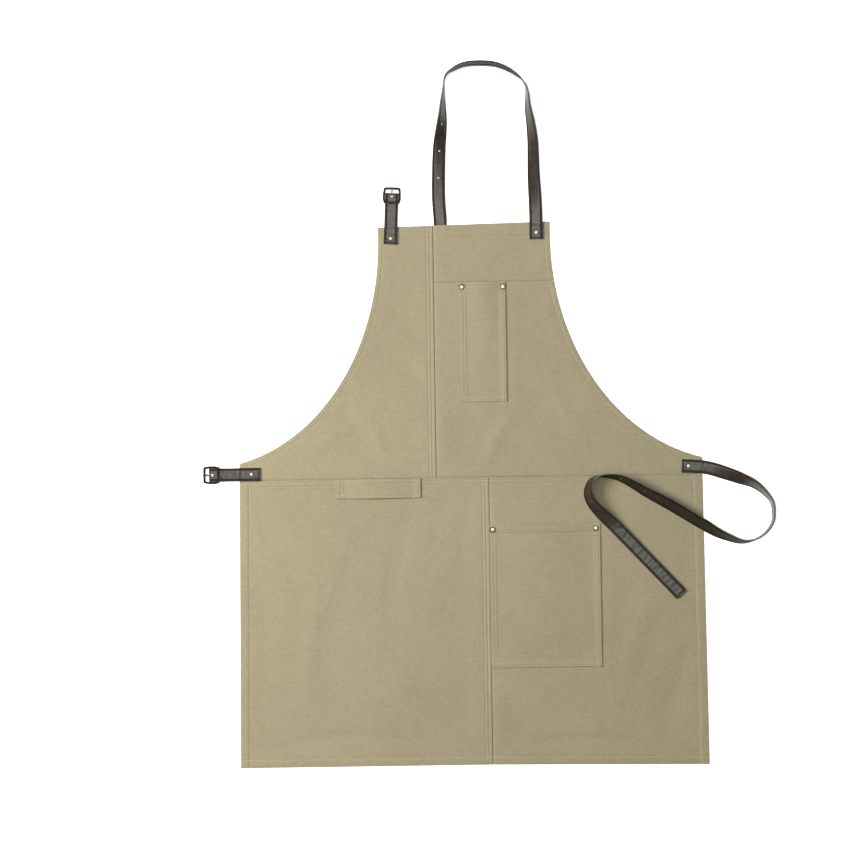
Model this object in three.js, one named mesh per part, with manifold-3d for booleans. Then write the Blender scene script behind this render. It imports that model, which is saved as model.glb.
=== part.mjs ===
// Bib apron in canvas with two buckled leather straps, laid open on its back.
// Millimetres, +Z up. The origin is on the surface that the apron lies on, below the middle of
// the waist seam. +Y runs up to the neck strap, and +X is to the right of someone looking at
// the front, which faces up.
import * as THREE from 'three';
import { mergeVertices } from 'three/addons/utils/BufferGeometryUtils.js';
import Module from 'manifold-3d';

const wasm = await Module();
wasm.setup();

// Cloth, leather and clearance
const CLOTH = 0.8;
const LEATHER = 0.95;
const GAP = 0.3;

// Outline of the apron
const WAIST_WIDTH = 694;
const HEM_WIDTH = 703;
const SKIRT_DROP = 430.5;
const HEM_TILT = 4;           // the right corner of the hem hangs this much lower than the left
const SIDE_RISE = 26;         // height of the side edges above the waist seam
const BIB_HEIGHT = 379.7;
const BIB_WIDTH = 258;
const BIB_SHIFT = -5.5;       // the bib is sewn this much off the middle
const BIB_TOP_TILT = 5.4;     // the right end of the top edge stands this much higher
const TOP_STRAIGHT = 21;      // straight part of the bib's sides, above the armhole curves
const ARMHOLE_OVERRUN = 53;   // centre of the armhole ellipse, outside the side edge
const ARMHOLE_STEPS = 18;

// Hems and seams
const TOP_HEM = 22.5;
const BOTTOM_HEM = 13.5;
const SIDE_HEM = 16;
const ARMHOLE_HEM = 9.5;
const SEAM_ALLOWANCE = 12;
const SEAM_WEB = 0.8;         // cloth that turns down through a seam
const BIB_SEAM_X = -52;
const SKIRT_SEAM_X = 26.5;
const YOKE_DEPTH = 86.2;

// Patch pockets and the towel loop
const BIB_POCKET = { left: -13.5, width: 69.5, height: 180, bow: 7, rivetLeft: 3.6, rivetRight: 4.5 };
const SKIRT_POCKET = { width: 166, height: 214.5, top: -71, bow: 8, rivetLeft: 4.4, rivetRight: 6.9 };
const POCKET_RIM = 10;        // flat sewn margin of a pocket
const POCKET_RIVET_DROP = 7.5;
const TOWEL_LOOP = { left: -203, width: 127.5, height: 29, bow: 7, sewnEnd: 11 };

// Leather straps and buckle tabs
const STRAP_WIDTH = 20;
const STRAP_STEP = 11;
const STRAP_RIVET = 10.4;     // rivet's distance from a strap's sewn end
const HOLE_RADIUS = 1.3;
const HOLE_SPACING = 40;
const HOLE_COUNT = 7;
const FIRST_HOLE = 80;        // from the free end
const TAB_LENGTH = 75;        // from the sewn end to the buckle's bar
const NECK_TAB = { inset: 22.2, overhang: 48.6, lean: 2.7, rivet: 9 };
const WAIST_TAB = { rise: 9.5, overhang: 43.6, rivet: 13.8 };
const TAIL_TUCK = 10;         // the neck strap's free end lies about this far under the bib
const TAIL_SEAM_ROOM = 1.3;   // between the free end and the bib's upright seam
const SEWN_END_INSET = 10.6;  // the neck strap's sewn end, from the bib's top right corner

// Buckles
const BAR_RADIUS = 1;
const BUCKLE = { front: 10.7, back: 14.9, ringWidth: 2.8, thickness: 2.2, tilt: 12 };
const BUCKLE_SIDE_ROOM = 0.7;
const BUCKLE_HALF_WIDTH = STRAP_WIDTH / 2 + BUCKLE_SIDE_ROOM + BUCKLE.ringWidth;
const PRONG_WIDTH = 2.4;
const PRONG_REACH = 11.6;
const PRONG_HEIGHT = 1.4;
const PRONG_SLOT = 3.6;

// Rivets
const POST_RADIUS = 1.8;
const STUD_RADIUS = 0.9;
const RIVET_HOLE = POST_RADIUS + GAP;
const POCKET_CAP = 4.5;
const STRAP_CAP = 4.1;
const BACK_RADIUS = 4;
const BACK_TOP = 1.6;
const ROUND_STEPS = 16;

// Levels worked out from the sizes above. A seam is a stack: the lower panel's allowance on the
// surface, then the upper panel's folded allowance, then the face of the cloth.
const FOLD_UNDERSIDE = CLOTH + GAP;
const CLOTH_UNDERSIDE = FOLD_UNDERSIDE + CLOTH;
const CLOTH_TOP = CLOTH_UNDERSIDE + CLOTH;
const ON_CLOTH = CLOTH_TOP + GAP;
const STRAP_THICKNESS = 2 * LEATHER + GAP;
const BAR_LEVEL = ON_CLOTH + STRAP_THICKNESS / 2;
const YOKE_Y = BIB_HEIGHT - YOKE_DEPTH;

const CANVAS = { color: 0xaea486, roughness: 0.95, metalness: 0 };
const LEATHER_FACE = { color: 0x4b3f3b, roughness: 0.45, metalness: 0 };
const LEATHER_BACK = { color: 0x4a4339, roughness: 0.85, metalness: 0 };
const OLD_BRASS = { color: 0x8a7a58, roughness: 0.4, metalness: 0.9 };

// ---------- solids ----------

function toSolid(geometry) {
  const bare = geometry.clone();
  bare.deleteAttribute('normal');
  bare.deleteAttribute('uv');
  const welded = mergeVertices(bare, 1e-4);
  return new wasm.Manifold(new wasm.Mesh({
    numProp: 3,
    vertProperties: new Float32Array(welded.attributes.position.array),
    triVerts: new Uint32Array(welded.index.array),
  }));
}

function toGeometry(solid) {
  const mesh = solid.getMesh();
  const geometry = new THREE.BufferGeometry();
  geometry.setAttribute('position', new THREE.BufferAttribute(mesh.vertProperties, 3));
  geometry.setIndex(new THREE.BufferAttribute(mesh.triVerts, 1));
  geometry.computeVertexNormals();
  return geometry;
}

// An upright prism over a plan outline, between two levels
function prism(outline, low, high) {
  const shape = new THREE.Shape(outline);
  const geometry = new THREE.ExtrudeGeometry(shape, { depth: high - low, bevelEnabled: false });
  geometry.translate(0, 0, low);
  return toSolid(geometry);
}

function block(x0, x1, y0, y1, low, high) {
  const geometry = new THREE.BoxGeometry(x1 - x0, y1 - y0, high - low);
  geometry.translate((x0 + x1) / 2, (y0 + y1) / 2, (low + high) / 2);
  return toSolid(geometry);
}

// An upright round drill
function drill(x, y, radius, low, high) {
  const geometry = new THREE.CylinderGeometry(radius, radius, high - low, ROUND_STEPS);
  geometry.rotateX(Math.PI / 2);
  geometry.translate(x, y, (low + high) / 2);
  return toSolid(geometry);
}

// A turned piece, from a profile of [radius, height] that starts and ends on the axis
function turned(profile, x, y) {
  const points = profile.map(([radius, height]) => new THREE.Vector2(radius, height));
  const geometry = new THREE.LatheGeometry(points, ROUND_STEPS);
  geometry.rotateX(Math.PI / 2);
  geometry.translate(x, y, 0);
  return toSolid(geometry);
}

// ---------- cloth panels ----------

// Moves each edge of a counter-clockwise outline inwards by its own distance
function inset(outline, distances) {
  const count = outline.length;
  const inward = (edge) => {
    const along = outline[(edge + 1) % count].clone().sub(outline[edge]).normalize();
    return new THREE.Vector2(-along.y, along.x);
  };
  const moved = [];
  outline.forEach((point, edge) => {
    const before = (edge + count - 1) % count;
    const a = inward(before);
    const b = inward(edge);
    const turn = a.cross(b);
    if (Math.abs(turn) > 1e-3) {
      const x = (distances[before] * b.y - distances[edge] * a.y) / turn;
      const y = (distances[edge] * a.x - distances[before] * b.x) / turn;
      moved.push(new THREE.Vector2(point.x + x, point.y + y));
      return;
    }
    moved.push(point.clone().addScaledVector(a, distances[before]));
    if (distances[before] !== distances[edge]) {
      moved.push(point.clone().addScaledVector(b, distances[edge]));
    }
  });
  return moved;
}

// How an edge is finished: how wide the cloth stays doubled at the two lower levels.
// A hem is turned under, an upper seam edge is folded over the neighbour's allowance, and a
// lower seam edge turns down and runs on under its neighbour.
const hem = (width) => ({ low: width, fold: width });
const UPPER_SEAM = { low: -1, fold: SEAM_ALLOWANCE };
const LOWER_SEAM = { low: SEAM_WEB, fold: SEAM_WEB };

// A panel from runs of edges. Its room is where a neighbour's allowance may lie under it.
function panel(runs) {
  const outline = runs.flatMap((run) => run.points);
  const finishes = runs.flatMap((run) => run.points.map(() => run.finish));
  const low = finishes.map((finish) => finish.low);
  const fold = finishes.map((finish) => finish.fold);
  const solid = prism(outline, 0, CLOTH_TOP)
    .subtract(prism(inset(outline, low), -1, FOLD_UNDERSIDE))
    .subtract(prism(inset(outline, fold), CLOTH, CLOTH_UNDERSIDE));
  return { solid, room: inset(outline, low.map((width) => width + GAP)) };
}

// The strip of allowance that runs on under a neighbour
function allowance(neighbour, x0, x1, y0, y1) {
  return prism(neighbour.room, 0, CLOTH).intersect(block(x0, x1, y0, y1, -1, CLOTH + 1));
}

const at = (x, y) => new THREE.Vector2(x, y);
const bibTop = (x) => BIB_HEIGHT + BIB_TOP_TILT * (x - BIB_SHIFT) / BIB_WIDTH;
const hemLevel = (x) => {
  const share = Math.max(0, x - SKIRT_SEAM_X) / (HEM_WIDTH / 2 - SKIRT_SEAM_X);
  return -SKIRT_DROP - HEM_TILT * share;
};

// Points down one armhole between two heights: a straight run, then a quarter of an ellipse
function armhole(side, fromY, toY) {
  const cornerX = BIB_SHIFT + side * BIB_WIDTH / 2;
  const centreX = side * (WAIST_WIDTH / 2 + ARMHOLE_OVERRUN);
  const centreY = bibTop(cornerX) - TOP_STRAIGHT;
  const radiusX = Math.abs(centreX - cornerX);
  const radiusY = (centreY - SIDE_RISE) / Math.sqrt(1 - (ARMHOLE_OVERRUN / radiusX) ** 2);
  const angleAt = (y) => Math.asin(Math.max(0, (centreY - y) / radiusY));
  const first = angleAt(fromY);
  const last = angleAt(toY);
  const steps = Math.max(2, Math.round(ARMHOLE_STEPS * (last - first) / (Math.PI / 2)));
  const points = fromY > centreY ? [at(cornerX, fromY)] : [];
  for (let step = 0; step <= steps; step += 1) {
    const angle = first + (last - first) * step / steps;
    points.push(at(centreX - side * radiusX * Math.cos(angle), centreY - radiusY * Math.sin(angle)));
  }
  return points;
}

const half = GAP / 2;
const sideX = WAIST_WIDTH / 2;
const leftCornerX = BIB_SHIFT - BIB_WIDTH / 2;
const rightCornerX = BIB_SHIFT + BIB_WIDTH / 2;
const skirtFlangeTop = -SEAM_ALLOWANCE - 1;

const skirtLeft = panel([
  { points: [at(-HEM_WIDTH / 2, hemLevel(0))], finish: hem(BOTTOM_HEM) },
  { points: [at(SKIRT_SEAM_X - half, hemLevel(0))], finish: UPPER_SEAM },
  { points: [at(SKIRT_SEAM_X - half, -half)], finish: UPPER_SEAM },
  { points: [at(-sideX, -half)], finish: hem(SIDE_HEM) },
]);

const skirtRight = panel([
  { points: [at(SKIRT_SEAM_X + half, hemLevel(0))], finish: hem(BOTTOM_HEM) },
  { points: [at(HEM_WIDTH / 2, hemLevel(HEM_WIDTH / 2))], finish: hem(SIDE_HEM) },
  { points: [at(sideX, -half)], finish: UPPER_SEAM },
  { points: [at(SKIRT_SEAM_X + half, -half)], finish: UPPER_SEAM },
  { points: [at(SKIRT_SEAM_X + half, skirtFlangeTop)], finish: LOWER_SEAM },
]);

const bibLeft = panel([
  { points: [at(-sideX, half)], finish: LOWER_SEAM },
  { points: [at(BIB_SEAM_X - half, half)], finish: UPPER_SEAM },
  { points: [at(BIB_SEAM_X - half, bibTop(BIB_SEAM_X))], finish: hem(TOP_HEM) },
  { points: armhole(-1, bibTop(leftCornerX), SIDE_RISE).slice(0, -1), finish: hem(ARMHOLE_HEM) },
  { points: [at(-sideX, SIDE_RISE)], finish: hem(SIDE_HEM) },
]);

const bibRightSide = armhole(1, YOKE_Y - half, SIDE_RISE).reverse();
const bibRight = panel([
  { points: [at(BIB_SEAM_X + half, half)], finish: LOWER_SEAM },
  { points: [at(sideX, half)], finish: hem(SIDE_HEM) },
  { points: bibRightSide.slice(0, -1), finish: hem(ARMHOLE_HEM) },
  { points: bibRightSide.slice(-1), finish: UPPER_SEAM },
  { points: [at(BIB_SEAM_X + half, YOKE_Y - half)], finish: LOWER_SEAM },
]);

const yokeSide = armhole(1, bibTop(rightCornerX), YOKE_Y + half).reverse();
const yoke = panel([
  { points: [at(BIB_SEAM_X + half, YOKE_Y + half)], finish: LOWER_SEAM },
  { points: yokeSide.slice(0, -1), finish: hem(ARMHOLE_HEM) },
  { points: [at(rightCornerX, bibTop(rightCornerX))], finish: hem(TOP_HEM) },
  { points: [at(BIB_SEAM_X + half, bibTop(BIB_SEAM_X))], finish: LOWER_SEAM },
]);

const underBibLeft = [BIB_SEAM_X - SEAM_ALLOWANCE, BIB_SEAM_X + SEAM_WEB];
const underWaist = [-SEAM_ALLOWANCE, SEAM_WEB];
skirtRight.solid = skirtRight.solid.add(allowance(skirtLeft, SKIRT_SEAM_X - SEAM_ALLOWANCE,
  SKIRT_SEAM_X + SEAM_WEB, hemLevel(0), skirtFlangeTop));
bibLeft.solid = bibLeft.solid.add(allowance(skirtLeft, -sideX, BIB_SEAM_X - half, ...underWaist));
bibRight.solid = bibRight.solid
  .add(allowance(skirtLeft, BIB_SEAM_X + half, SKIRT_SEAM_X + SEAM_WEB, ...underWaist))
  .add(allowance(skirtRight, SKIRT_SEAM_X - half, sideX, ...underWaist))
  .add(allowance(bibLeft, ...underBibLeft, 0, YOKE_Y - half));
yoke.solid = yoke.solid
  .add(allowance(bibRight, BIB_SEAM_X, rightCornerX + BIB_WIDTH, YOKE_Y - SEAM_ALLOWANCE, YOKE_Y + SEAM_WEB))
  .add(allowance(bibLeft, ...underBibLeft, YOKE_Y + half, BIB_HEIGHT));

// A patch of cloth sewn flat along its margins and bowed up between them
function bowedPatch(width, height, thickness, columns, rows, bowAt) {
  const geometry = new THREE.BoxGeometry(width, height, thickness, columns, rows, 1);
  const place = geometry.attributes.position;
  for (let i = 0; i < place.count; i += 1) {
    const lift = bowAt(place.getX(i) + width / 2, place.getY(i) + height / 2);
    place.setZ(i, place.getZ(i) + thickness / 2 + lift);
  }
  return geometry;
}

// A pocket is sewn down both sides and along the bottom, and its mouth is at the top
function pocket({ width, height, bow }, left, top) {
  const bowAt = (x, y) => {
    const across = THREE.MathUtils.clamp((x - POCKET_RIM) / (width - 2 * POCKET_RIM), 0, 1);
    const up = THREE.MathUtils.clamp((y - POCKET_RIM) / (height - POCKET_RIM), 0, 1);
    return bow * Math.sin(Math.PI * across) * Math.sin(Math.PI / 2 * up);
  };
  const columns = Math.round(width / 10);
  const rows = Math.round(height / 20);
  const geometry = bowedPatch(width, height, CLOTH, columns, rows, bowAt);
  geometry.translate(left + width / 2, top - height / 2, ON_CLOTH);
  return toSolid(geometry);
}

// The towel loop is a doubled band, sewn down at both ends
function towelLoop() {
  const { left, width, height, bow, sewnEnd } = TOWEL_LOOP;
  const bowAt = (x) => {
    const across = THREE.MathUtils.clamp((x - sewnEnd) / (width - 2 * sewnEnd), 0, 1);
    return bow * Math.sin(Math.PI * across);
  };
  const geometry = bowedPatch(width, height, 2 * CLOTH, Math.round(width / 8), 1, bowAt);
  geometry.translate(left + width / 2, -height / 2, ON_CLOTH);
  return toSolid(geometry);
}

const skirtPocketLeft = SKIRT_SEAM_X + half;
const pockets = {
  bib_pocket: { size: BIB_POCKET, left: BIB_POCKET.left, top: YOKE_Y },
  skirt_pocket: { size: SKIRT_POCKET, left: skirtPocketLeft, top: SKIRT_POCKET.top },
};

// ---------- leather straps ----------

// A strap lies with one long edge on the surface and is rolled about that edge: at 0 degrees it
// lies face up, at 90 it stands on the edge, and past 90 it leans over to show its lining.
// A knot is [x, y, roll in degrees, level of the surface], the edge is on the right of travel.
function layStrap(knots) {
  const points = knots.map(([x, y]) => new THREE.Vector3(x, y, 0));
  const edge = new THREE.CatmullRomCurve3(points, false, 'centripetal');
  const length = edge.getLength();
  const between = (t, column) => {
    const place = t * (knots.length - 1);
    const knot = Math.min(Math.floor(place), knots.length - 2);
    return THREE.MathUtils.lerp(knots[knot][column], knots[knot + 1][column], place - knot);
  };
  const frameAt = (distance) => {
    const t = edge.getUtoTmapping(THREE.MathUtils.clamp(distance / length, 0, 1));
    const along = edge.getTangent(t);
    const roll = THREE.MathUtils.degToRad(between(t, 2));
    const aside = new THREE.Vector3(-along.y, along.x, 0);
    const across = aside.clone().multiplyScalar(Math.cos(roll)).setZ(Math.sin(roll));
    const outward = aside.clone().multiplyScalar(-Math.sin(roll)).setZ(Math.cos(roll));
    const corner = edge.getPoint(t);
    corner.z = between(t, 3) + Math.max(0, -STRAP_THICKNESS * Math.cos(roll));
    return { corner, along, across, outward };
  };
  return { length, frameAt };
}

// Splits the underside's squares along the same diagonals as the top's, so that two plies stay
// the same distance apart where the strap twists
function alignUnderside(geometry) {
  const corners = geometry.index.array;
  const { start, count } = geometry.groups[5];
  for (let i = start; i < start + count; i += 6) {
    const [a, b, d, , c] = corners.slice(i, i + 6);
    corners.set([a, b, c, a, c, d], i);
  }
}

// One ply of a strap, between two depths measured from its lining side
function strapPly(strap, low, high) {
  const steps = Math.round(strap.length / STRAP_STEP);
  const geometry = new THREE.BoxGeometry(strap.length, STRAP_WIDTH, high - low, steps, 1, 1);
  alignUnderside(geometry);
  geometry.translate(strap.length / 2, STRAP_WIDTH / 2, (low + high) / 2);
  const place = geometry.attributes.position;
  for (let i = 0; i < place.count; i += 1) {
    const { corner, across, outward } = strap.frameAt(place.getX(i));
    corner.addScaledVector(across, place.getY(i)).addScaledVector(outward, place.getZ(i));
    place.setXYZ(i, corner.x, corner.y, corner.z);
  }
  return toSolid(geometry);
}

// A drill through the middle of a strap, at a distance along it
function strapDrill(strap, distance, radius) {
  const { corner, along, across, outward } = strap.frameAt(distance);
  const geometry = new THREE.CylinderGeometry(radius, radius, 4 * STRAP_THICKNESS, ROUND_STEPS / 2);
  geometry.rotateX(Math.PI / 2);
  geometry.applyMatrix4(new THREE.Matrix4().makeBasis(along, across, outward));
  const middle = corner.addScaledVector(across, STRAP_WIDTH / 2);
  geometry.translate(middle.x, middle.y, middle.z);
  return toSolid(geometry);
}

function strapMiddle(strap, distance) {
  const { corner, across } = strap.frameAt(distance);
  return corner.addScaledVector(across, STRAP_WIDTH / 2);
}

// The face and lining of a strap, with its row of holes and its rivet hole.
// towardsEnd turns a distance from the free end into a distance along the strap.
function strapPlies(strap, rivetAt, towardsEnd) {
  let face = strapPly(strap, LEATHER + GAP, STRAP_THICKNESS);
  let lining = strapPly(strap, 0, LEATHER);
  const drills = [strapDrill(strap, rivetAt, RIVET_HOLE)];
  for (let hole = 0; hole < HOLE_COUNT; hole += 1) {
    drills.push(strapDrill(strap, towardsEnd(FIRST_HOLE + hole * HOLE_SPACING), HOLE_RADIUS));
  }
  for (const cutter of drills) {
    face = face.subtract(cutter);
    lining = lining.subtract(cutter);
  }
  return { face, lining };
}

// The waist strap starts on the right-hand side edge. Its knots are measured from that edge.
const waistKnots = [
  [-32, 3, 0, ON_CLOTH], [-15, 2.2, 0, ON_CLOTH], [4, 0.2, 0, ON_CLOTH], [33, -8, 17, 1],
  [55, -14.4, 33, 0], [74, -19.6, 56, 0], [91.5, -30.8, 73, 0], [102.3, -42.8, 83, 0],
  [105.3, -56.5, 87, 0], [104, -73.3, 90, 0], [92, -90.8, 93, 0], [74.1, -101.4, 97, 0],
  [56.5, -105.3, 107, 0], [31.4, -99.5, 124, 0], [15.1, -93.3, 133, ON_CLOTH],
  [-4.6, -82.2, 142, ON_CLOTH], [-57.7, -49.8, 143, ON_CLOTH], [-84.4, -34.5, 137, ON_CLOTH],
  [-126.7, -8.4, 118, ON_CLOTH], [-149, -2.8, 103, ON_CLOTH], [-159.5, -1.6, 90, ON_CLOTH],
  [-170.1, -7.7, 72, ON_CLOTH], [-176.9, -23.8, 55, ON_CLOTH], [-173.6, -39.9, 47, ON_CLOTH],
  [-161.1, -58.9, 32, ON_CLOTH], [-135.2, -87, 0, ON_CLOTH], [-41, -187, 0, ON_CLOTH],
].map(([x, y, roll, level]) => [sideX + x, y, roll, level]);
const waistStrap = layStrap(waistKnots);
const waistPlies = strapPlies(waistStrap, STRAP_RIVET, (fromEnd) => waistStrap.length - fromEnd);

// The neck strap runs from its free end, under the bib's top edge, round to its sewn end.
// A knot's x is a share of the way from the free end's edge to the sewn end's edge, and its y
// is measured from the middle of the bib's top edge.
const tailEdgeX = BIB_SEAM_X + TAIL_SEAM_ROOM + STRAP_WIDTH;
const sewnEdgeX = rightCornerX - SEWN_END_INSET - STRAP_WIDTH;
const neckKnots = [
  [0, -TAIL_TUCK, 0, 0], [0, 10, 0, 0], [-0.015, 40, 16, 0], [-0.006, 109, 25, 0],
  [0.009, 154, 46, 0], [-0.006, 181, 68, 0], [-0.015, 202, 84, 0], [-0.016, 217, 93, 0],
  [0.006, 226, 101, 0], [0.079, 235, 112, 0], [0.226, 244, 119, 0], [0.469, 246, 122, 0],
  [0.638, 243, 120, 0], [0.795, 234, 116, 0], [0.892, 224.5, 109, 0], [0.951, 215.5, 100, 0],
  [0.986, 205.5, 90, 0], [0.991, 193, 80, 0], [0.979, 173.5, 67, 0], [0.992, 152.5, 57, 0],
  [1.001, 125, 43, 0], [0.995, 71, 29, 0], [0.999, 30, 10, 1.2], [1, 8, 0, ON_CLOTH],
  [1, -24, 0, ON_CLOTH],
].map(([share, y, roll, level]) => {
  const x = THREE.MathUtils.lerp(tailEdgeX, sewnEdgeX, share);
  return [x, BIB_HEIGHT + y, roll, level];
});
const neckStrap = layStrap(neckKnots);
const neckRivetAt = neckStrap.length - STRAP_RIVET;
const neckPlies = strapPlies(neckStrap, neckRivetAt, (fromEnd) => fromEnd);

// The bib's top hem is lifted over the neck strap's free end
const tail = [tailEdgeX - STRAP_WIDTH - GAP, tailEdgeX + GAP];
const tunnelTop = STRAP_THICKNESS + GAP;
const tailY = [BIB_HEIGHT - TAIL_TUCK - 2 * GAP, bibTop(tailEdgeX) + CLOTH];
const liftedY = [tailY[0] - CLOTH, bibTop(tailEdgeX) - half];
const liftedHem = block(tail[0], tail[1] + CLOTH, ...liftedY, CLOTH_UNDERSIDE, tunnelTop + CLOTH);
const tailTunnel = block(...tail, ...tailY, -1, tunnelTop);
yoke.solid = yoke.solid.add(liftedHem).subtract(tailTunnel);

// ---------- buckles ----------

// A tab and its buckle are made along +X about the buckle's bar, then turned and placed
function placement(x, y, degrees) {
  const turn = new THREE.Matrix4().makeRotationZ(THREE.MathUtils.degToRad(degrees));
  return new THREE.Matrix4().makeTranslation(x, y, BAR_LEVEL).multiply(turn);
}

// Turns an extruded profile of (along, up) so that it runs across the strap, centred on it
function acrossStrap(shape, width) {
  const options = { depth: width, bevelEnabled: false, curveSegments: 10 };
  const geometry = new THREE.ExtrudeGeometry(shape, options);
  geometry.rotateX(Math.PI / 2);
  geometry.translate(0, width / 2, 0);
  return geometry;
}

// A strip of leather folded round the bar, with its two plies sewn together below it
function buckleTab(rivetFromEnd) {
  const outer = BAR_RADIUS + GAP + LEATHER;
  const inner = BAR_RADIUS + GAP;
  const rise = STRAP_THICKNESS / 2;
  const wrap = THREE.MathUtils.degToRad(125);
  const parting = -3 * outer;
  const shape = new THREE.Shape();
  shape.moveTo(-TAB_LENGTH, -rise);
  shape.lineTo(parting, -rise);
  shape.absarc(0, 0, outer, -wrap, wrap, false);
  shape.lineTo(parting, rise);
  shape.lineTo(-TAB_LENGTH, rise);
  shape.lineTo(-TAB_LENGTH, half);
  shape.lineTo(parting, half);
  shape.absarc(0, 0, inner, wrap, -wrap, true);
  shape.lineTo(parting, -half);
  shape.lineTo(-TAB_LENGTH, -half);
  const slot = block(-2 * outer, 2 * outer, -PRONG_SLOT / 2, PRONG_SLOT / 2, -2 * outer, 2 * outer);
  const rivetHole = drill(rivetFromEnd - TAB_LENGTH, 0, RIVET_HOLE, -2 * rise, 2 * rise);
  return toSolid(acrossStrap(shape, STRAP_WIDTH)).subtract(slot).subtract(rivetHole);
}

// Half of the buckle's ring, on the +Y side, from the front bar to the back bar
function ringSide(shape, inward, side) {
  const width = BUCKLE_HALF_WIDTH - inward;
  const front = BUCKLE.front - inward;
  const back = BUCKLE.back - inward;
  const corner = 3;
  shape.lineTo(front, side * (width - corner - 0.8));
  shape.quadraticCurveTo(front, side * (width - 0.8), front - corner, side * (width - 0.3));
  shape.quadraticCurveTo(0, side * (width + 0.4), corner - back, side * (width - 0.4));
  shape.quadraticCurveTo(-back, side * (width - 0.9), -back, side * (width - corner - 0.9));
}

// The ring is tilted, so that its back bar lies on the leather, and carries the bar
function buckleFrame() {
  const outline = new THREE.Shape();
  const bevel = 0.5;
  const windowInset = BUCKLE.ringWidth - bevel;
  outline.moveTo(BUCKLE.front - bevel, 0);
  ringSide(outline, bevel, 1);
  outline.lineTo(bevel - BUCKLE.back, 0);
  const outer = outline.getPoints(6);
  const window = new THREE.Shape();
  window.moveTo(BUCKLE.front - windowInset, 0);
  ringSide(window, windowInset, 1);
  window.lineTo(windowInset - BUCKLE.back, 0);
  const inner = window.getPoints(6);
  const mirrored = (points) => points.slice(1, -1).reverse().map((point) => at(point.x, -point.y));
  const ring = new THREE.Shape([...outer, ...mirrored(outer)]);
  ring.holes.push(new THREE.Path([...inner, ...mirrored(inner)]));
  const geometry = new THREE.ExtrudeGeometry(ring, {
    depth: BUCKLE.thickness - 2 * bevel,
    bevelThickness: bevel,
    bevelSize: bevel,
    bevelSegments: 1,
  });
  geometry.translate(0, 0, bevel - BUCKLE.thickness / 2);
  geometry.rotateY(THREE.MathUtils.degToRad(BUCKLE.tilt));
  const bar = new THREE.CylinderGeometry(BAR_RADIUS, BAR_RADIUS, 2 * BUCKLE_HALF_WIDTH - BUCKLE.ringWidth, 12);
  return toSolid(geometry).add(toSolid(bar));
}

// The prong turns on the bar and rests on the front bar
function buckleProng() {
  const eye = BAR_RADIUS + GAP;
  const wall = 0.9;
  const shape = new THREE.Shape();
  shape.absarc(0, 0, eye + wall, THREE.MathUtils.degToRad(40), THREE.MathUtils.degToRad(355), false);
  shape.lineTo(PRONG_REACH - 1, -0.2);
  shape.lineTo(PRONG_REACH, 0.3);
  shape.lineTo(PRONG_REACH, 0.8);
  shape.lineTo(PRONG_REACH - 0.8, PRONG_HEIGHT - 0.2);
  const hole = new THREE.Path();
  hole.absarc(0, 0, eye, 0, 2 * Math.PI, true);
  shape.holes.push(hole);
  return toSolid(acrossStrap(shape, PRONG_WIDTH));
}

const neckTabX = leftCornerX + NECK_TAB.inset;
const neckPlace = placement(neckTabX, bibTop(neckTabX) + NECK_TAB.overhang, 90 - NECK_TAB.lean);
const waistPlace = placement(-sideX - WAIST_TAB.overhang, WAIST_TAB.rise, 180);

// ---------- rivets ----------

// Each rivet holds a stack of pieces: its cap lies on stackTop, and its back under the cloth
const onPocket = ON_CLOTH + CLOTH;
const onStrap = ON_CLOTH + STRAP_THICKNESS;
const rivets = [];
for (const [name, { size, left, top }] of Object.entries(pockets)) {
  const common = { y: top - POCKET_RIVET_DROP, cap: POCKET_CAP, stackTop: onPocket };
  const right = left + size.width;
  rivets.push({ name: `${name}_rivet_left`, x: left + size.rivetLeft, ...common });
  rivets.push({ name: `${name}_rivet_right`, x: right - size.rivetRight, ...common });
}
const seats = [
  ['neck_strap_rivet', strapMiddle(neckStrap, neckRivetAt)],
  ['waist_strap_rivet', strapMiddle(waistStrap, STRAP_RIVET)],
  ['neck_tab_rivet', new THREE.Vector3(NECK_TAB.rivet - TAB_LENGTH, 0, 0).applyMatrix4(neckPlace)],
  ['waist_tab_rivet', new THREE.Vector3(WAIST_TAB.rivet - TAB_LENGTH, 0, 0).applyMatrix4(waistPlace)],
];
for (const [name, { x, y }] of seats) {
  rivets.push({ name, x, y, cap: STRAP_CAP, stackTop: onStrap });
}

// A domed cap on a hollow post
function rivetCap({ x, y, cap, stackTop }) {
  const seat = stackTop + GAP;
  const postEnd = BACK_TOP + GAP;
  return turned([
    [0, seat], [STUD_RADIUS + GAP, seat], [STUD_RADIUS + GAP, postEnd], [POST_RADIUS, postEnd],
    [POST_RADIUS, seat], [cap, seat], [cap, seat + 0.5], [0.72 * cap, seat + 1.2], [0, seat + 1.5],
  ], x, y);
}

// A flat back whose stud stands up inside the cap's post
function rivetBack({ x, y, stackTop }) {
  return turned([
    [0, GAP], [BACK_RADIUS, GAP], [BACK_RADIUS, BACK_TOP - 0.5], [BACK_RADIUS - 1.4, BACK_TOP],
    [STUD_RADIUS, BACK_TOP], [STUD_RADIUS, stackTop], [0, stackTop],
  ], x, y);
}

// Cuts a piece of cloth clear of every rivet: a hole for the post and a recess for the back
function riveted(solid) {
  let cut = solid;
  for (const { x, y } of rivets) {
    cut = cut.subtract(drill(x, y, RIVET_HOLE, -1, onStrap));
    cut = cut.subtract(drill(x, y, BACK_RADIUS + GAP, -1, CLOTH_UNDERSIDE));
  }
  return cut;
}

// ---------- assembly ----------

const apron = new THREE.Group();

function addPiece(name, solid, finish, place = new THREE.Matrix4()) {
  const mesh = new THREE.Mesh(toGeometry(solid), new THREE.MeshStandardMaterial(finish));
  mesh.name = name;
  mesh.applyMatrix4(place);
  apron.add(mesh);
}

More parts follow.
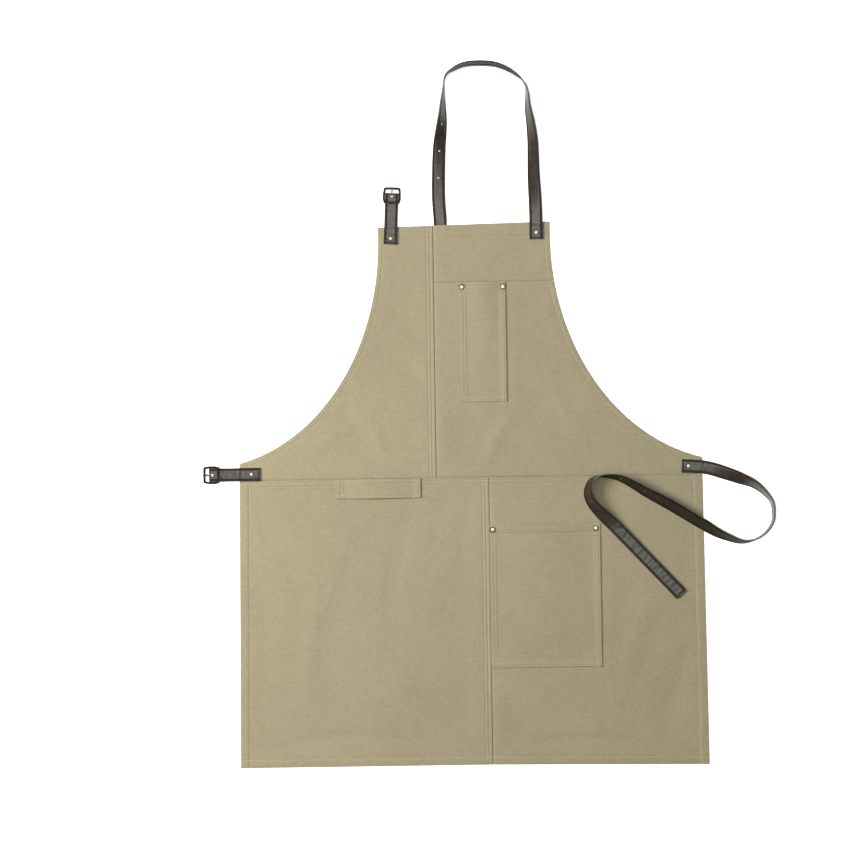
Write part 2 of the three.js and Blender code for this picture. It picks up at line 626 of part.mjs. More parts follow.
addPiece('skirt_left_panel', riveted(skirtLeft.solid), CANVAS);
addPiece('skirt_right_panel', riveted(skirtRight.solid), CANVAS);
addPiece('bib_left_panel', riveted(bibLeft.solid), CANVAS);
addPiece('bib_right_panel', riveted(bibRight.solid), CANVAS);
addPiece('bib_yoke_panel', riveted(yoke.solid), CANVAS);
for (const [name, { size, left, top }] of Object.entries(pockets)) {
  addPiece(name, riveted(pocket(size, left, top)), CANVAS);
}
addPiece('towel_loop', towelLoop(), CANVAS);
addPiece('neck_strap_face', neckPlies.face, LEATHER_FACE);
addPiece('neck_strap_lining', neckPlies.lining, LEATHER_BACK);
addPiece('waist_strap_face', waistPlies.face, LEATHER_FACE);
addPiece('waist_strap_lining', waistPlies.lining, LEATHER_BACK);
const buckles = [
  { name: 'neck', place: neckPlace, tab: NECK_TAB },
  { name: 'waist', place: waistPlace, tab: WAIST_TAB },
];
for (const { name, place, tab } of buckles) {
  addPiece(`${name}_buckle_tab`, buckleTab(tab.rivet), LEATHER_FACE, place);
  addPiece(`${name}_buckle_frame`, buckleFrame(), OLD_BRASS, place);
  addPiece(`${name}_buckle_prong`, buckleProng(), OLD_BRASS, place);
}
for (const rivet of rivets) {
  addPiece(`${rivet.name}_cap`, rivetCap(rivet), OLD_BRASS);
  addPiece(`${rivet.name}_back`, rivetBack(rivet), OLD_BRASS);
}

export default apron;
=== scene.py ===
"""Finished look of a canvas bib apron with leather straps, laid open on its back.

The pieces are laid out in millimetres and turned into metres when a mesh is made. +X is to the
right of someone looking at the front of the apron, +Y runs up to the neck strap and +Z is up.
"""

import logging
import math
from contextlib import contextmanager
from dataclasses import dataclass, field
from enum import Enum
from typing import Callable, Iterator, NamedTuple

import bpy
import numpy as np
from mathutils import Matrix, Vector
from mathutils.noise import noise


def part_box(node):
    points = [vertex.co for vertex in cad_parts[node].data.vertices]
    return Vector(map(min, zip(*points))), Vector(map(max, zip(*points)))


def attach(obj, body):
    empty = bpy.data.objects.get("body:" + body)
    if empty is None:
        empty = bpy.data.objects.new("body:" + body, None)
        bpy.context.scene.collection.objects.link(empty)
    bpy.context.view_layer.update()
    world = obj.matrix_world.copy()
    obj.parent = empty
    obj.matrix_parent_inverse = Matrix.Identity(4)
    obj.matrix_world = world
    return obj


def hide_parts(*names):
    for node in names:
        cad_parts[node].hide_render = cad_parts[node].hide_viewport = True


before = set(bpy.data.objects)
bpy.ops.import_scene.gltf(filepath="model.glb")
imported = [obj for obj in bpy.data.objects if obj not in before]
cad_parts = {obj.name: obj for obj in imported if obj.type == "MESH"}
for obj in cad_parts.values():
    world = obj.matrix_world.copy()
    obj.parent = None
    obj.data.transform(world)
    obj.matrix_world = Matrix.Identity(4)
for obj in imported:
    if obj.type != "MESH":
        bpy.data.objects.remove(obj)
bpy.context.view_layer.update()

logging.basicConfig(level=logging.INFO, format="%(message)s")
log = logging.getLogger("apron")

Array = np.ndarray
Material = bpy.types.Material
Piece = bpy.types.Object
Socket = bpy.types.NodeSocket
Colour = tuple[float, float, float]
Triple = tuple[float, float, float]
Plan = tuple[tuple[float, float], ...]

MM = 0.001
PLY = 0.8
CLOTH_TOP = 2.7
FOLDED = 1.6
HEMMED = 2.6
SEAM_GAP = 0.06
SEAM_ALLOWANCE = 12.0
SEAM_SINK = 1.9
LEAST_TOP = 0.08
LEAST_PLY = 0.05
LEAST_UNDERSIDE = 0.02
STRAP_WIDTH = 20.0
STRAP_THICKNESS = 2.2
PLY_FACE = 1.1
PLY_GAP = 0.02
BORDER_ROW = 2.8
SIDES = ("bottom", "top", "left", "right")
BAR_LEVEL = 4.1

CLOTH_ANGLE = 60.0
LEATHER_ANGLE = 45.0
METAL_ANGLE = 50.0
QUARTER_TURN = math.pi / 2

WAIST_HALF = 347.0
HEM_HALF = 351.5
SKIRT_DROP = 430.5
HEM_TILT = 4.0
SIDE_RISE = 26.0
BIB_HEIGHT = 379.7
BIB_WIDTH = 258.0
BIB_SHIFT = -5.5
BIB_TOP_TILT = 5.4
TOP_STRAIGHT = 21.0
ARMHOLE_OVERRUN = 53.0
BIB_SEAM_X = -52.0
SKIRT_SEAM_X = 26.5
YOKE_Y = 293.5
LEFT_CORNER_X = BIB_SHIFT - BIB_WIDTH / 2
RIGHT_CORNER_X = BIB_SHIFT + BIB_WIDTH / 2


class Slot(Enum):
    """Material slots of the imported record."""

    CANVAS = "canvas"
    FACE = "leather_face"
    LINING = "leather_lining"
    BRASS = "antique_brass"


# ---------------------------------------------------------------- working in Blender


def deselect() -> None:
    """Leaves nothing selected, so that an operator acts only on what is added next."""
    if bpy.context.object and bpy.context.object.mode != "OBJECT":
        bpy.ops.object.mode_set(mode="OBJECT")
    bpy.ops.object.select_all(action="DESELECT")


def pick(piece: Piece) -> None:
    """Makes one object the only one that is selected, and the active one."""
    deselect()
    piece.select_set(True)
    bpy.context.view_layer.objects.active = piece


def added(name: str) -> Piece:
    """Names the object that an operator has just added and returns it."""
    piece = bpy.context.object
    piece.name = piece.data.name = name
    return piece


@contextmanager
def editing(
    piece: Piece,
    faces: Callable[[bpy.types.MeshPolygon], bool] | None = None,
    edges: Callable[[Vector, Vector], bool] | None = None,
) -> Iterator[None]:
    """Opens a mesh in edit mode with some of its faces or edges selected, and closes it again.

    Args:
        piece: The object to edit.
        faces: Says of a face whether it is selected.
        edges: Says of an edge, by the places of its two ends, whether it is selected.
    """
    pick(piece)
    bpy.ops.object.mode_set(mode="EDIT")
    bpy.ops.mesh.select_mode(type="FACE" if faces else "EDGE")
    bpy.ops.mesh.select_all(action="DESELECT")
    bpy.ops.object.mode_set(mode="OBJECT")
    corners = piece.data.vertices
    for face in piece.data.polygons if faces else ():
        face.select = faces(face)
    for edge in piece.data.edges if edges else ():
        edge.select = edges(*(corners[i].co for i in edge.vertices))
    bpy.ops.object.mode_set(mode="EDIT")
    yield
    bpy.ops.object.mode_set(mode="OBJECT")


def finish_modifier(piece: Piece, kind: str, **settings: object) -> None:
    """Adds a modifier, sets it and applies it.

    Args:
        piece: The object to change.
        kind: Blender's name of the modifier type.
        **settings: The modifier's properties.
    """
    pick(piece)
    modifier = piece.modifiers.new(kind.title(), kind)
    for name, value in settings.items():
        setattr(modifier, name, value)
    bpy.ops.object.modifier_apply(modifier=modifier.name)


def apply_place(piece: Piece, matrix: Matrix | None = None) -> None:
    """Puts an object's place into its mesh, and then a further matrix if one is given."""
    pick(piece)
    bpy.ops.object.transform_apply(location=True, rotation=True, scale=True)
    if matrix is not None:
        piece.data.transform(matrix)


def bevel(piece: Piece, width: float, segments: int, degrees: float = 30.0) -> None:
    """Rounds the edges of a piece that are sharper than an angle, by a width in millimetres."""
    limit = {"limit_method": "ANGLE", "angle_limit": math.radians(degrees)}
    finish_modifier(piece, "BEVEL", width=width * MM, segments=segments, **limit)


def cylinder(
    name: str, radius: float, depth: float, sides: int, place: Triple = (0, 0, 0), turn: Triple = (0, 0, 0)
) -> Piece:
    """Adds a cylinder about +Z.

    Args:
        name: Its name.
        radius: Its radius in millimetres.
        depth: Its whole length in millimetres.
        sides: How many sides it has.
        place: Its middle in millimetres.
        turn: Its turn about each axis.

    Returns:
        The cylinder.
    """
    deselect()
    where = {"location": [value * MM for value in place], "rotation": turn}
    bpy.ops.mesh.primitive_cylinder_add(vertices=sides, radius=radius * MM, depth=depth * MM, **where)
    piece = added(name)
    apply_place(piece)
    return piece


def cuboid(name: str, size: Triple, place: Triple) -> Piece:
    """Adds a block of a size about a place, both in millimetres."""
    deselect()
    bpy.ops.mesh.primitive_cube_add(size=1, location=[value * MM for value in place])
    piece = added(name)
    piece.scale = [value * MM for value in size]
    apply_place(piece)
    return piece


def smooth(piece: Piece, degrees: float) -> None:
    """Shades a piece smooth, except at edges sharper than an angle."""
    pick(piece)
    bpy.ops.object.shade_smooth_by_angle(angle=math.radians(degrees))


def joined(pieces: list[Piece], name: str) -> Piece:
    """Joins several objects into the first one, under a new name."""
    pick(pieces[0])
    for piece in pieces:
        piece.select_set(True)
    bpy.ops.object.join()
    return added(name)


def copied(piece: Piece, name: str, matrix: Matrix) -> Piece:
    """Copies an object with its own mesh, moved by a matrix."""
    copy = piece.copy()
    copy.data = piece.data.copy()
    copy.name = copy.data.name = name
    copy.data.transform(matrix)
    bpy.context.scene.collection.objects.link(copy)
    return copy


def new_mesh(name: str, points: Array, faces: list[tuple[int, ...]]) -> Piece:
    """An object from points in millimetres and faces.

    Args:
        name: Name of the object and of its mesh.
        points: One row for each point.
        faces: The points of each face, counter-clockwise from outside.

    Returns:
        The new object, in metres.
    """
    mesh = bpy.data.meshes.new(name)
    mesh.from_pydata((points * MM).tolist(), [], faces)
    mesh.update()
    piece = bpy.data.objects.new(name, mesh)
    bpy.context.scene.collection.objects.link(piece)
    return piece


def coordinates(piece: Piece) -> Array:
    """The points of a mesh in millimetres, one row each."""
    points = np.empty(len(piece.data.vertices) * 3)
    piece.data.vertices.foreach_get("co", points)
    return points.reshape(-1, 3) / MM


def dress(
    piece: Piece,
    slot: Slot,
    *finishes: Material,
    body: str = "apron",
    replaced: tuple[str, ...] = (),
) -> Piece:
    """Gives a piece its materials and its body, and hides the frame nodes that it stands for.

    Args:
        piece: The finished piece.
        slot: The record's material slot that it takes its finish from; not used.
        *finishes: Its materials, in the order of its faces' material numbers.
        body: The body that it moves with.
        replaced: The frame nodes that it replaces.

    Returns:
        The same piece.
    """
    for finish in finishes:
        if finish.name not in piece.data.materials:
            piece.data.materials.append(finish)
    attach(piece, body)
    if replaced:
        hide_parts(*replaced)
    log.info("%s: %d faces on %s", piece.name, len(piece.data.polygons), body)
    return piece


# ---------------------------------------------------------------- materials


class Graph:
    """A node tree, with short ways to add nodes and to join them."""

    def __init__(self, tree: bpy.types.NodeTree) -> None:
        """Starts on an empty tree."""
        self.tree = tree
        tree.nodes.clear()

    def feed(self, node: bpy.types.Node, name: str | int, value: object) -> None:
        """Sets one of a node's inputs, or joins a socket to it."""
        if isinstance(value, Socket):
            self.tree.links.new(value, node.inputs[name])
        else:
            node.inputs[name].default_value = value

    def add(self, kind: str, inputs: dict | None = None, **settings: object) -> bpy.types.Node:
        """Adds a node.

        Args:
            kind: The node type, without its ShaderNode prefix.
            inputs: A value or a socket for each input, by name or number.
            **settings: The node's own properties.

        Returns:
            The new node.
        """
        prefix = "" if kind.startswith("NodeGroup") else "ShaderNode"
        node = self.tree.nodes.new(prefix + kind)
        for name, value in settings.items():
            setattr(node, name, value)
        for name, value in (inputs or {}).items():
            self.feed(node, name, value)
        return node

    def math(self, operation: str, *values: object) -> Socket:
        """The result of a math node on values or sockets."""
        return self.add("Math", dict(enumerate(values)), operation=operation).outputs[0]

    def stretched(self, vector: Socket, scale: Triple) -> Socket:
        """A vector scaled by its own amount along each axis."""
        return self.add("Mapping", {"Vector": vector, "Scale": scale}).outputs[0]

    def noise(self, vector: Socket, scale: float, detail: float = 2.0) -> Socket:
        """Soft noise about 0.5."""
        inputs = {"Vector": vector, "Scale": scale, "Detail": detail, "Roughness": 0.55}
        return self.add("TexNoise", inputs).outputs[0]

    def ramp(self, value: Socket, stops: tuple) -> Socket:
        """A colour ramp over (place, colour) stops."""
        node = self.add("ValToRGB", {0: value})
        elements = node.color_ramp.elements
        while len(elements) < len(stops):
            elements.new(0.5)
        for element, (place, colour) in zip(elements, stops):
            element.position = place
            element.color = (*colour, 1.0)
        return node.outputs[0]

    def mix(self, share: object, first: object, second: object) -> Socket:
        """Two colours mixed by a share."""
        node = self.add("Mix", data_type="RGBA")
        self.feed(node, 0, share)
        for index, colour in ((6, first), (7, second)):
            self.feed(node, index, colour if isinstance(colour, Socket) else (*colour, 1.0))
        return node.outputs[2]


class Effect:
    """A shader node group with named inputs and outputs, built once and placed in materials."""

    def __init__(self, name: str, inputs: dict[str, float | None], outputs: tuple[str, ...]) -> None:
        """Makes the group's sockets.

        Args:
            name: Name of the group.
            inputs: The start value of each input, or None for a vector.
            outputs: The names of the values that it puts out.
        """
        self.tree = bpy.data.node_groups.new(name, "ShaderNodeTree")
        for title, value in inputs.items():
            kind = "NodeSocketVector" if value is None else "NodeSocketFloat"
            socket = self.tree.interface.new_socket(title, in_out="INPUT", socket_type=kind)
            if value is not None:
                socket.default_value = value
        for title in outputs:
            self.tree.interface.new_socket(title, in_out="OUTPUT", socket_type="NodeSocketFloat")
        self.graph = Graph(self.tree)
        self.given = self.graph.add("NodeGroupInput").outputs

    def close(self, **results: Socket) -> "Effect":
        """Joins the results to the group's outputs."""
        self.graph.add("NodeGroupOutput", results)
        return self

    def place(self, graph: Graph, **inputs: object) -> bpy.types.bpy_prop_collection:
        """Puts the group into a material's graph with its own values, and returns its outputs."""
        return graph.add("Group", inputs, node_tree=self.tree).outputs


def weave_effect() -> Effect:
    """Plain weave with uneven yarns: a Height, and a Tone about 0.5 for the yarns' colour, with painted light on the
    yarns' crests and painted shade in the gaps between them.
    """
    wander_scale, wander_share = 60.0, 3.0
    warp_stretch, weft_stretch = (1050.0, 120.0, 120.0), (75.0, 1000.0, 75.0)
    slub_relief, slub_tone, middle_tone, crest_light_tone = 0.9, 0.62, 0.47, 0.06
    effect = Effect("plain_weave", {"Vector": None, "Pitch": 0.0007, "Slub": 1.0}, ("Height", "Tone"))
    graph, given = effect.graph, effect.given
    drift = graph.math("MULTIPLY", graph.noise(given["Vector"], wander_scale), wander_share)
    waves = []
    for axis in graph.add("SeparateXYZ", {0: given["Vector"]}).outputs[:2]:
        turns = graph.math("DIVIDE", axis, given["Pitch"])
        waves.append(graph.math("SINE", graph.math("MULTIPLY_ADD", turns, math.pi, drift)))
    warp, weft = (graph.math("ABSOLUTE", wave) for wave in waves)
    over = graph.math("MULTIPLY_ADD", graph.math("MULTIPLY", *waves), 0.5, 0.5)
    tall = graph.math("MULTIPLY", warp, over)
    low = graph.math("MULTIPLY", weft, graph.math("SUBTRACT", 1.0, over))
    height = graph.math("ADD", tall, low)
    upright, level = (
        graph.noise(graph.stretched(given["Vector"], stretch), 1.0) for stretch in (warp_stretch, weft_stretch)
    )
    slubs = graph.math("SUBTRACT", graph.math("ADD", upright, level), 1.0)
    slubs = graph.math("MULTIPLY", slubs, given["Slub"])
    tone = graph.math("MULTIPLY_ADD", slubs, slub_tone, middle_tone)
    # Painted light and shade: the tone rises with the weave's height, paler on the crests and darker in the gaps.
    tone = graph.math("ADD", tone, graph.math("MULTIPLY", height, crest_light_tone))
    return effect.close(Height=graph.math("MULTIPLY_ADD", slubs, slub_relief, height), Tone=tone)


def grain_effect() -> Effect:
    """Leather grain: a Height of pebbles and creases, a blotchy Shade, and a mask of the Border."""
    cell_steepness, pebble_depth = 4.0, 0.03
    pore_scale, pore_depth = 2600.0, 0.004
    crease_stretch, crease_detail = (60.0, 170.0, 55.0), 0.5
    blotch_scale, blotch_detail = 85.0, 4.0
    border_start, border_steepness = 0.0064, 1400.0
    names = ("Height", "Shade", "Border")
    effect = Effect("leather_grain", {"Vector": None, "Size": 0.0011, "Creases": 1.0}, names)
    graph, given = effect.graph, effect.given
    scale = graph.math("DIVIDE", 1.0, given["Size"])
    cells = graph.add("TexVoronoi", {"Vector": given["Vector"], "Scale": scale}, feature="DISTANCE_TO_EDGE")
    pebbles = graph.math("MINIMUM", graph.math("MULTIPLY", cells.outputs[0], cell_steepness), 1.0)
    pores = graph.noise(given["Vector"], pore_scale)
    folds = graph.noise(graph.stretched(given["Vector"], crease_stretch), 1.0, crease_detail)
    folds = graph.math("MULTIPLY", folds, given["Creases"])
    height = graph.math("MULTIPLY_ADD", pebbles, pebble_depth, folds)
    height = graph.math("ADD", height, graph.math("MULTIPLY", pores, pore_depth))
    across = graph.add("SeparateXYZ", {0: given["Vector"]}).outputs[0]
    middle = graph.math("SUBTRACT", across, STRAP_WIDTH / 2 * MM)
    away = graph.math("SUBTRACT", graph.math("ABSOLUTE", middle), border_start)
    border = graph.math("MAXIMUM", graph.math("MULTIPLY", away, border_steepness), 0.0)
    blotches = graph.noise(given["Vector"], blotch_scale, blotch_detail)
    return effect.close(Height=height, Shade=blotches, Border=graph.math("MINIMUM", border, 1.0))


def wear_effect() -> Effect:
    """Handling marks: a Tarnish mask in blotches and a Scuff mask of fine scratches."""
    blotch_scale, blotch_detail, clean_share = 420.0, 4.0, 0.35
    scratch_stretch, scratch_detail = (300.0, 4200.0, 900.0), 3.0
    effect = Effect("handling_wear", {"Vector": None, "Amount": 1.0}, ("Tarnish", "Scuff"))
    graph, given = effect.graph, effect.given
    blotch = graph.noise(given["Vector"], blotch_scale, blotch_detail)
    tarnish = graph.math("MULTIPLY", graph.math("SUBTRACT", blotch, clean_share), given["Amount"])
    scratch = graph.noise(graph.stretched(given["Vector"], scratch_stretch), 1.0, scratch_detail)
    return effect.close(Tarnish=graph.math("MAXIMUM", tarnish, 0.0), Scuff=scratch)


@dataclass(frozen=True)
class Effects:
    """The effects that the finishes share."""

    weave: Effect
    grain: Effect
    wear: Effect


def surface(name: str) -> tuple[Material, Graph]:
    """A new material and its empty graph."""
    material = bpy.data.materials.new(name)
    material.use_nodes = True
    return material, Graph(material.node_tree)


def shade(graph: Graph, inputs: dict, height: Socket | None = None, depth: float = 0.0) -> None:
    """Ends a material with its Principled shader.

    Args:
        graph: The material's graph.
        inputs: The shader's inputs, values or sockets.
        height: Relief from 0 to 1 that bumps the surface.
        depth: The relief's depth in metres.
    """
    if height is not None:
        bump = graph.add("Bump", {"Strength": 1.0, "Distance": depth, "Height": height})
        inputs = {**inputs, "Normal": bump.outputs[0]}
    shader = graph.add("BsdfPrincipled", inputs)
    graph.add("OutputMaterial", {0: shader.outputs[0]})


@dataclass(frozen=True)
class ClothFinish:
    """Woven cotton canvas, or thread of the same dye."""

    name: str
    pale: Colour
    deep: Colour
    pitch: float = 0.0007
    slub: float = 1.0
    roughness: float = 0.92
    specular: float = 0.2
    sheen: float = 0.12
    depth: float = 0.00016
    cloud_scale: float = 7.0
    cloud_share: float = 0.3
    dark_below: float = 0.15
    pale_above: float = 0.85
    roughness_spread: float = 0.08

    def material(self, effects: Effects) -> Material:
        """Makes the material."""
        material, graph = surface(self.name)
        place = graph.add("TexCoord").outputs["Object"]
        weave = effects.weave.place(graph, Vector=place, Pitch=self.pitch, Slub=self.slub)
        cloud = graph.math("SUBTRACT", graph.noise(place, self.cloud_scale, 3.0), 0.5)
        tone = graph.math("MULTIPLY_ADD", cloud, self.cloud_share, weave["Tone"])
        spread = self.roughness_spread
        inputs = {
            "Base Color": graph.ramp(tone, ((self.dark_below, self.deep), (self.pale_above, self.pale))),
            "Roughness": graph.math("MULTIPLY_ADD", weave["Tone"], spread, self.roughness - spread / 2),
            "Specular IOR Level": self.specular,
            "Sheen Weight": self.sheen,
        }
        shade(graph, inputs, weave["Height"], self.depth)
        return material


@dataclass(frozen=True)
class LeatherFinish:
    """Dyed leather, as its grain side, its lining or its cut edge."""

    name: str
    pale: Colour
    deep: Colour
    roughness: float
    grain: float = 0.0011
    creases: float = 1.0
    depth: float = 0.00012
    specular: float = 0.3
    scuffed: float = 0.25
    border_share: float = 0.6
    border_darkening: float = 4.0
    border_roughness: float = 0.25
    roughness_spread: float = 0.3

    def material(self, effects: Effects) -> Material:
        """Makes the material, which follows the piece's UV map in metres."""
        material, graph = surface(self.name)
        place = graph.add("TexCoord").outputs["UV"]
        grain = effects.grain.place(graph, Vector=place, Size=self.grain, Creases=self.creases)
        wear = effects.wear.place(graph, Vector=place, Amount=1.0)
        border = tuple(part / self.border_darkening for part in self.deep)
        colour = graph.ramp(grain["Shade"], ((0.3, self.deep), (0.7, self.pale)))
        colour = graph.mix(graph.math("MULTIPLY", wear["Scuff"], self.scuffed), colour, self.pale)
        colour = graph.mix(graph.math("MULTIPLY", grain["Border"], self.border_share), colour, border)
        spread = self.roughness_spread
        roughness = graph.math("MULTIPLY_ADD", grain["Shade"], spread, self.roughness - spread / 2)
        roughness = graph.math("MULTIPLY_ADD", grain["Border"], self.border_roughness, roughness)
        inputs = {"Base Color": colour, "Roughness": roughness, "Specular IOR Level": self.specular}
        shade(graph, inputs, grain["Height"], self.depth)
        return material


@dataclass(frozen=True)
class BrassFinish:
    """Plated and aged brass."""

    name: str
    bright: Colour
    aged: Colour
    roughness: float
    tarnish: float
    contrast: float = 2.2
    aged_roughness: float = 0.25
    scratch_depth: float = 0.000006

    def material(self, effects: Effects) -> Material:
        """Makes the material."""
        material, graph = surface(self.name)
        place = graph.add("TexCoord").outputs["Object"]
        wear = effects.wear.place(graph, Vector=place, Amount=self.tarnish)
        share = graph.math("MINIMUM", graph.math("MULTIPLY", wear["Tarnish"], self.contrast), 1.0)
        colour = graph.mix(share, self.bright, self.aged)
        roughness = graph.math("MULTIPLY_ADD", share, self.aged_roughness, self.roughness)
        inputs = {"Base Color": colour, "Roughness": roughness, "Metallic": 1.0}
        shade(graph, inputs, wear["Scuff"], self.scratch_depth)
        return material


@dataclass(frozen=True)
class Finishes:
    """Every material of the apron."""

    canvas: Material
    thread: Material
    face: Material
    lining: Material
    edge: Material
    dark_thread: Material
    rivet: Material
    buckle: Material


def make_finishes() -> Finishes:
    """Builds the shared effects once, and then each material."""
    effects = Effects(weave_effect(), grain_effect(), wear_effect())
    looks = {
        "canvas": ClothFinish("beige_canvas", (0.330, 0.286, 0.181), (0.210, 0.179, 0.110)),
        # The thread is of the canvas's dye; its paler colour is painted highlight, so that the raised stitches read as
        # lit dots.
        "thread": ClothFinish("beige_thread", (0.52, 0.46, 0.315), (0.40, 0.35, 0.235), 0.0003, 0.3, 0.7),
        "face": LeatherFinish(
            "brown_leather",
            (0.031, 0.0215, 0.013),
            (0.012, 0.0085, 0.005),
            0.37,
            creases=0.8,
            depth=0.00075,
            specular=0.6,
        ),
        "lining": LeatherFinish(
            "leather_lining", (0.032, 0.024, 0.013), (0.014, 0.0105, 0.006), 0.62, 0.0007, 0.4, specular=0.2
        ),
        "edge": LeatherFinish("cut_leather_edge", (0.40, 0.37, 0.32), (0.20, 0.18, 0.15), 0.8, 0.0006, 0.5),
        "dark_thread": ClothFinish("dark_thread", (0.014, 0.011, 0.010), (0.006, 0.005, 0.004), 0.0003, 0.3, 0.75),
        "rivet": BrassFinish("bright_brass", (0.72, 0.66, 0.48), (0.34, 0.29, 0.17), 0.36, 0.7),
        "buckle": BrassFinish("antique_brass", (0.13, 0.115, 0.085), (0.035, 0.030, 0.022), 0.28, 1.8),
    }
    return Finishes(**{use: finish.material(effects) for use, finish in looks.items()})


# ---------------------------------------------------------------- sewn pieces


class Line(NamedTuple):
    """One line of a piece's grid beside an edge, in millimetres.

    The inset is its distance in from the edge. The drop lowers the top, the sink lowers the whole
    sheet, thick is the thickness there, and the rise lifts the underside.
    """

    inset: float
    drop: float = 0.0
    sink: float = 0.0
    thick: float = PLY
    rise: float = 0.0
    stitched: bool = False


def fold(thick: float) -> list[Line]:
    """Lines round a folded edge, with a groove between its plies."""
    return [
        Line(0.4, 0.5 * thick, 0, thick, 0.5 * thick),
        Line(0.0, 0.32 * thick, 0, thick, 0.32 * thick),
        Line(0.1, 0.15 * thick, 0, thick, 0.12 * thick),
        Line(0.5, 0.03 * thick, 0, thick, 0.02 * thick),
        Line(1.3, 0, 0, thick),
    ]


def stitching(inset: float, thick: float, depth: float = 0.5) -> list[Line]:
    """Lines across a row of stitches, which pulls a groove into the surface."""
    beside, shallow = 0.8, 0.03
    return [
        Line(inset - beside, shallow, 0, thick),
        Line(inset, depth, 0, thick, 0, True),
        Line(inset + beside, shallow, 0, thick),
    ]


def hem(width: float) -> list[Line]:
    """A hem turned under, with one row of stitches near its inner edge."""
    middle = [Line(place * width, 0, 0, HEMMED) for place in (0.3, 0.55)]
    inner = [Line(width, 0, 0, HEMMED), Line(width + 0.5, 0.05), Line(width + 2.0), Line(width + 5.0)]
    return [*fold(HEMMED), *middle, *stitching(width - 1.4, HEMMED), *inner]


def upper_seam(*rows: float) -> list[Line]:
    """A folded seam edge that lies over its neighbour, with its rows of stitches."""
    lines = fold(FOLDED)
    for row in rows:
        lines += [*stitching(row, FOLDED), Line(row + 2.2, 0, 0, FOLDED)]
    return [*lines, Line(12.5), Line(15.0), Line(18.0)]


def lower_seam() -> list[Line]:
    """A seam edge that dips and runs on by the seam allowance under its neighbour."""
    rim = Line(-SEAM_ALLOWANCE, PLY / 2, SEAM_SINK, PLY, PLY / 2)
    flange = [Line(0.4 - SEAM_ALLOWANCE, 0.05, SEAM_SINK), *(Line(inset, 0, SEAM_SINK) for inset in (-8.0, -4.0, -1.0))]
    dip = ((-0.1, 1.55), (0.35, 1.1), (0.9, 0.75), (1.8, 0.48), (3.5, 0.25), (7.0, 0.1), (12.0, 0.0))
    return [rim, *flange, *(Line(inset, 0, sink) for inset, sink in dip)]


def patch_edge(*rows: float) -> list[Line]:
    """The turned-in edge of a patch, sewn down along rows of stitches."""
    lines = fold(FOLDED)
    for row in rows:
        lines += [*stitching(row, FOLDED, 0.4), Line(row + 1.8, 0, 0, FOLDED)]
    return [*lines, Line(rows[-1] + 2.6, 0, 0.25), Line(rows[-1] + 4.5, 0, 0.45)]


def distance_to(x: Array, y: Array, outline: Array) -> Array:
    """Distance of each place to the nearest point of an open outline.

    Args:
        x: Places across.
        y: Places along.
        outline: The outline's corners in order.

    Returns:
        The distances, in the shape of x.
    """
    start, run = outline[:-1], np.diff(outline, axis=0)
    away = np.column_stack([x.ravel(), y.ravel()])[:, None] - start
    share = np.clip((away * run).sum(2) / (run * run).sum(1), 0, 1)
    return np.linalg.norm(away - share[..., None] * run, axis=2).min(1).reshape(x.shape)


def travelled(points: Array) -> Array:
    """The way travelled along a row of points, at each of them."""
    return np.concatenate([[0], np.cumsum(np.linalg.norm(np.diff(points, axis=0), axis=1))])


def sampled(table: Array, travel: Array, places: Array) -> Array:
    """Reads a table's columns between its rows.

    Args:
        table: One row for each value of travel.
        travel: The way travelled at each row.
        places: Where to read.

    Returns:
        One row for each place.
    """
    return np.column_stack([np.interp(places, travel, column) for column in table.T])


def blurred(table: Array, reach: int) -> Array:
    """Evens out each column of a table over the rows within reach."""
    kernel = np.ones(2 * reach + 1) / (2 * reach + 1)
    return np.column_stack([np.convolve(np.pad(column, reach, "edge"), kernel, "valid") for column in table.T])


def smoothstep(values: Array, low: float, high: float) -> Array:
    """Rises smoothly from 0 at low to 1 at high."""
    share = np.clip((values - low) / (high - low), 0, 1)
    return share * share * (3 - 2 * share)


def noise_field(x: Array, y: Array, size_x: float, size_y: float, layer: float) -> Array:
    """Soft repeatable noise from about -1 to 1 over places in plan.

    Args:
        x: Places across, in millimetres.
        y: Places along, in millimetres.
        size_x: Size of a lump across.
        size_y: Size of a lump along.
        layer: Number that picks a different pattern.

    Returns:
        The noise at each place, in the shape of x.
    """
    places = zip((x / size_x).ravel(), (y / size_y).ravel())
    return np.array([noise((a, b, layer)) for a, b in places]).reshape(x.shape)


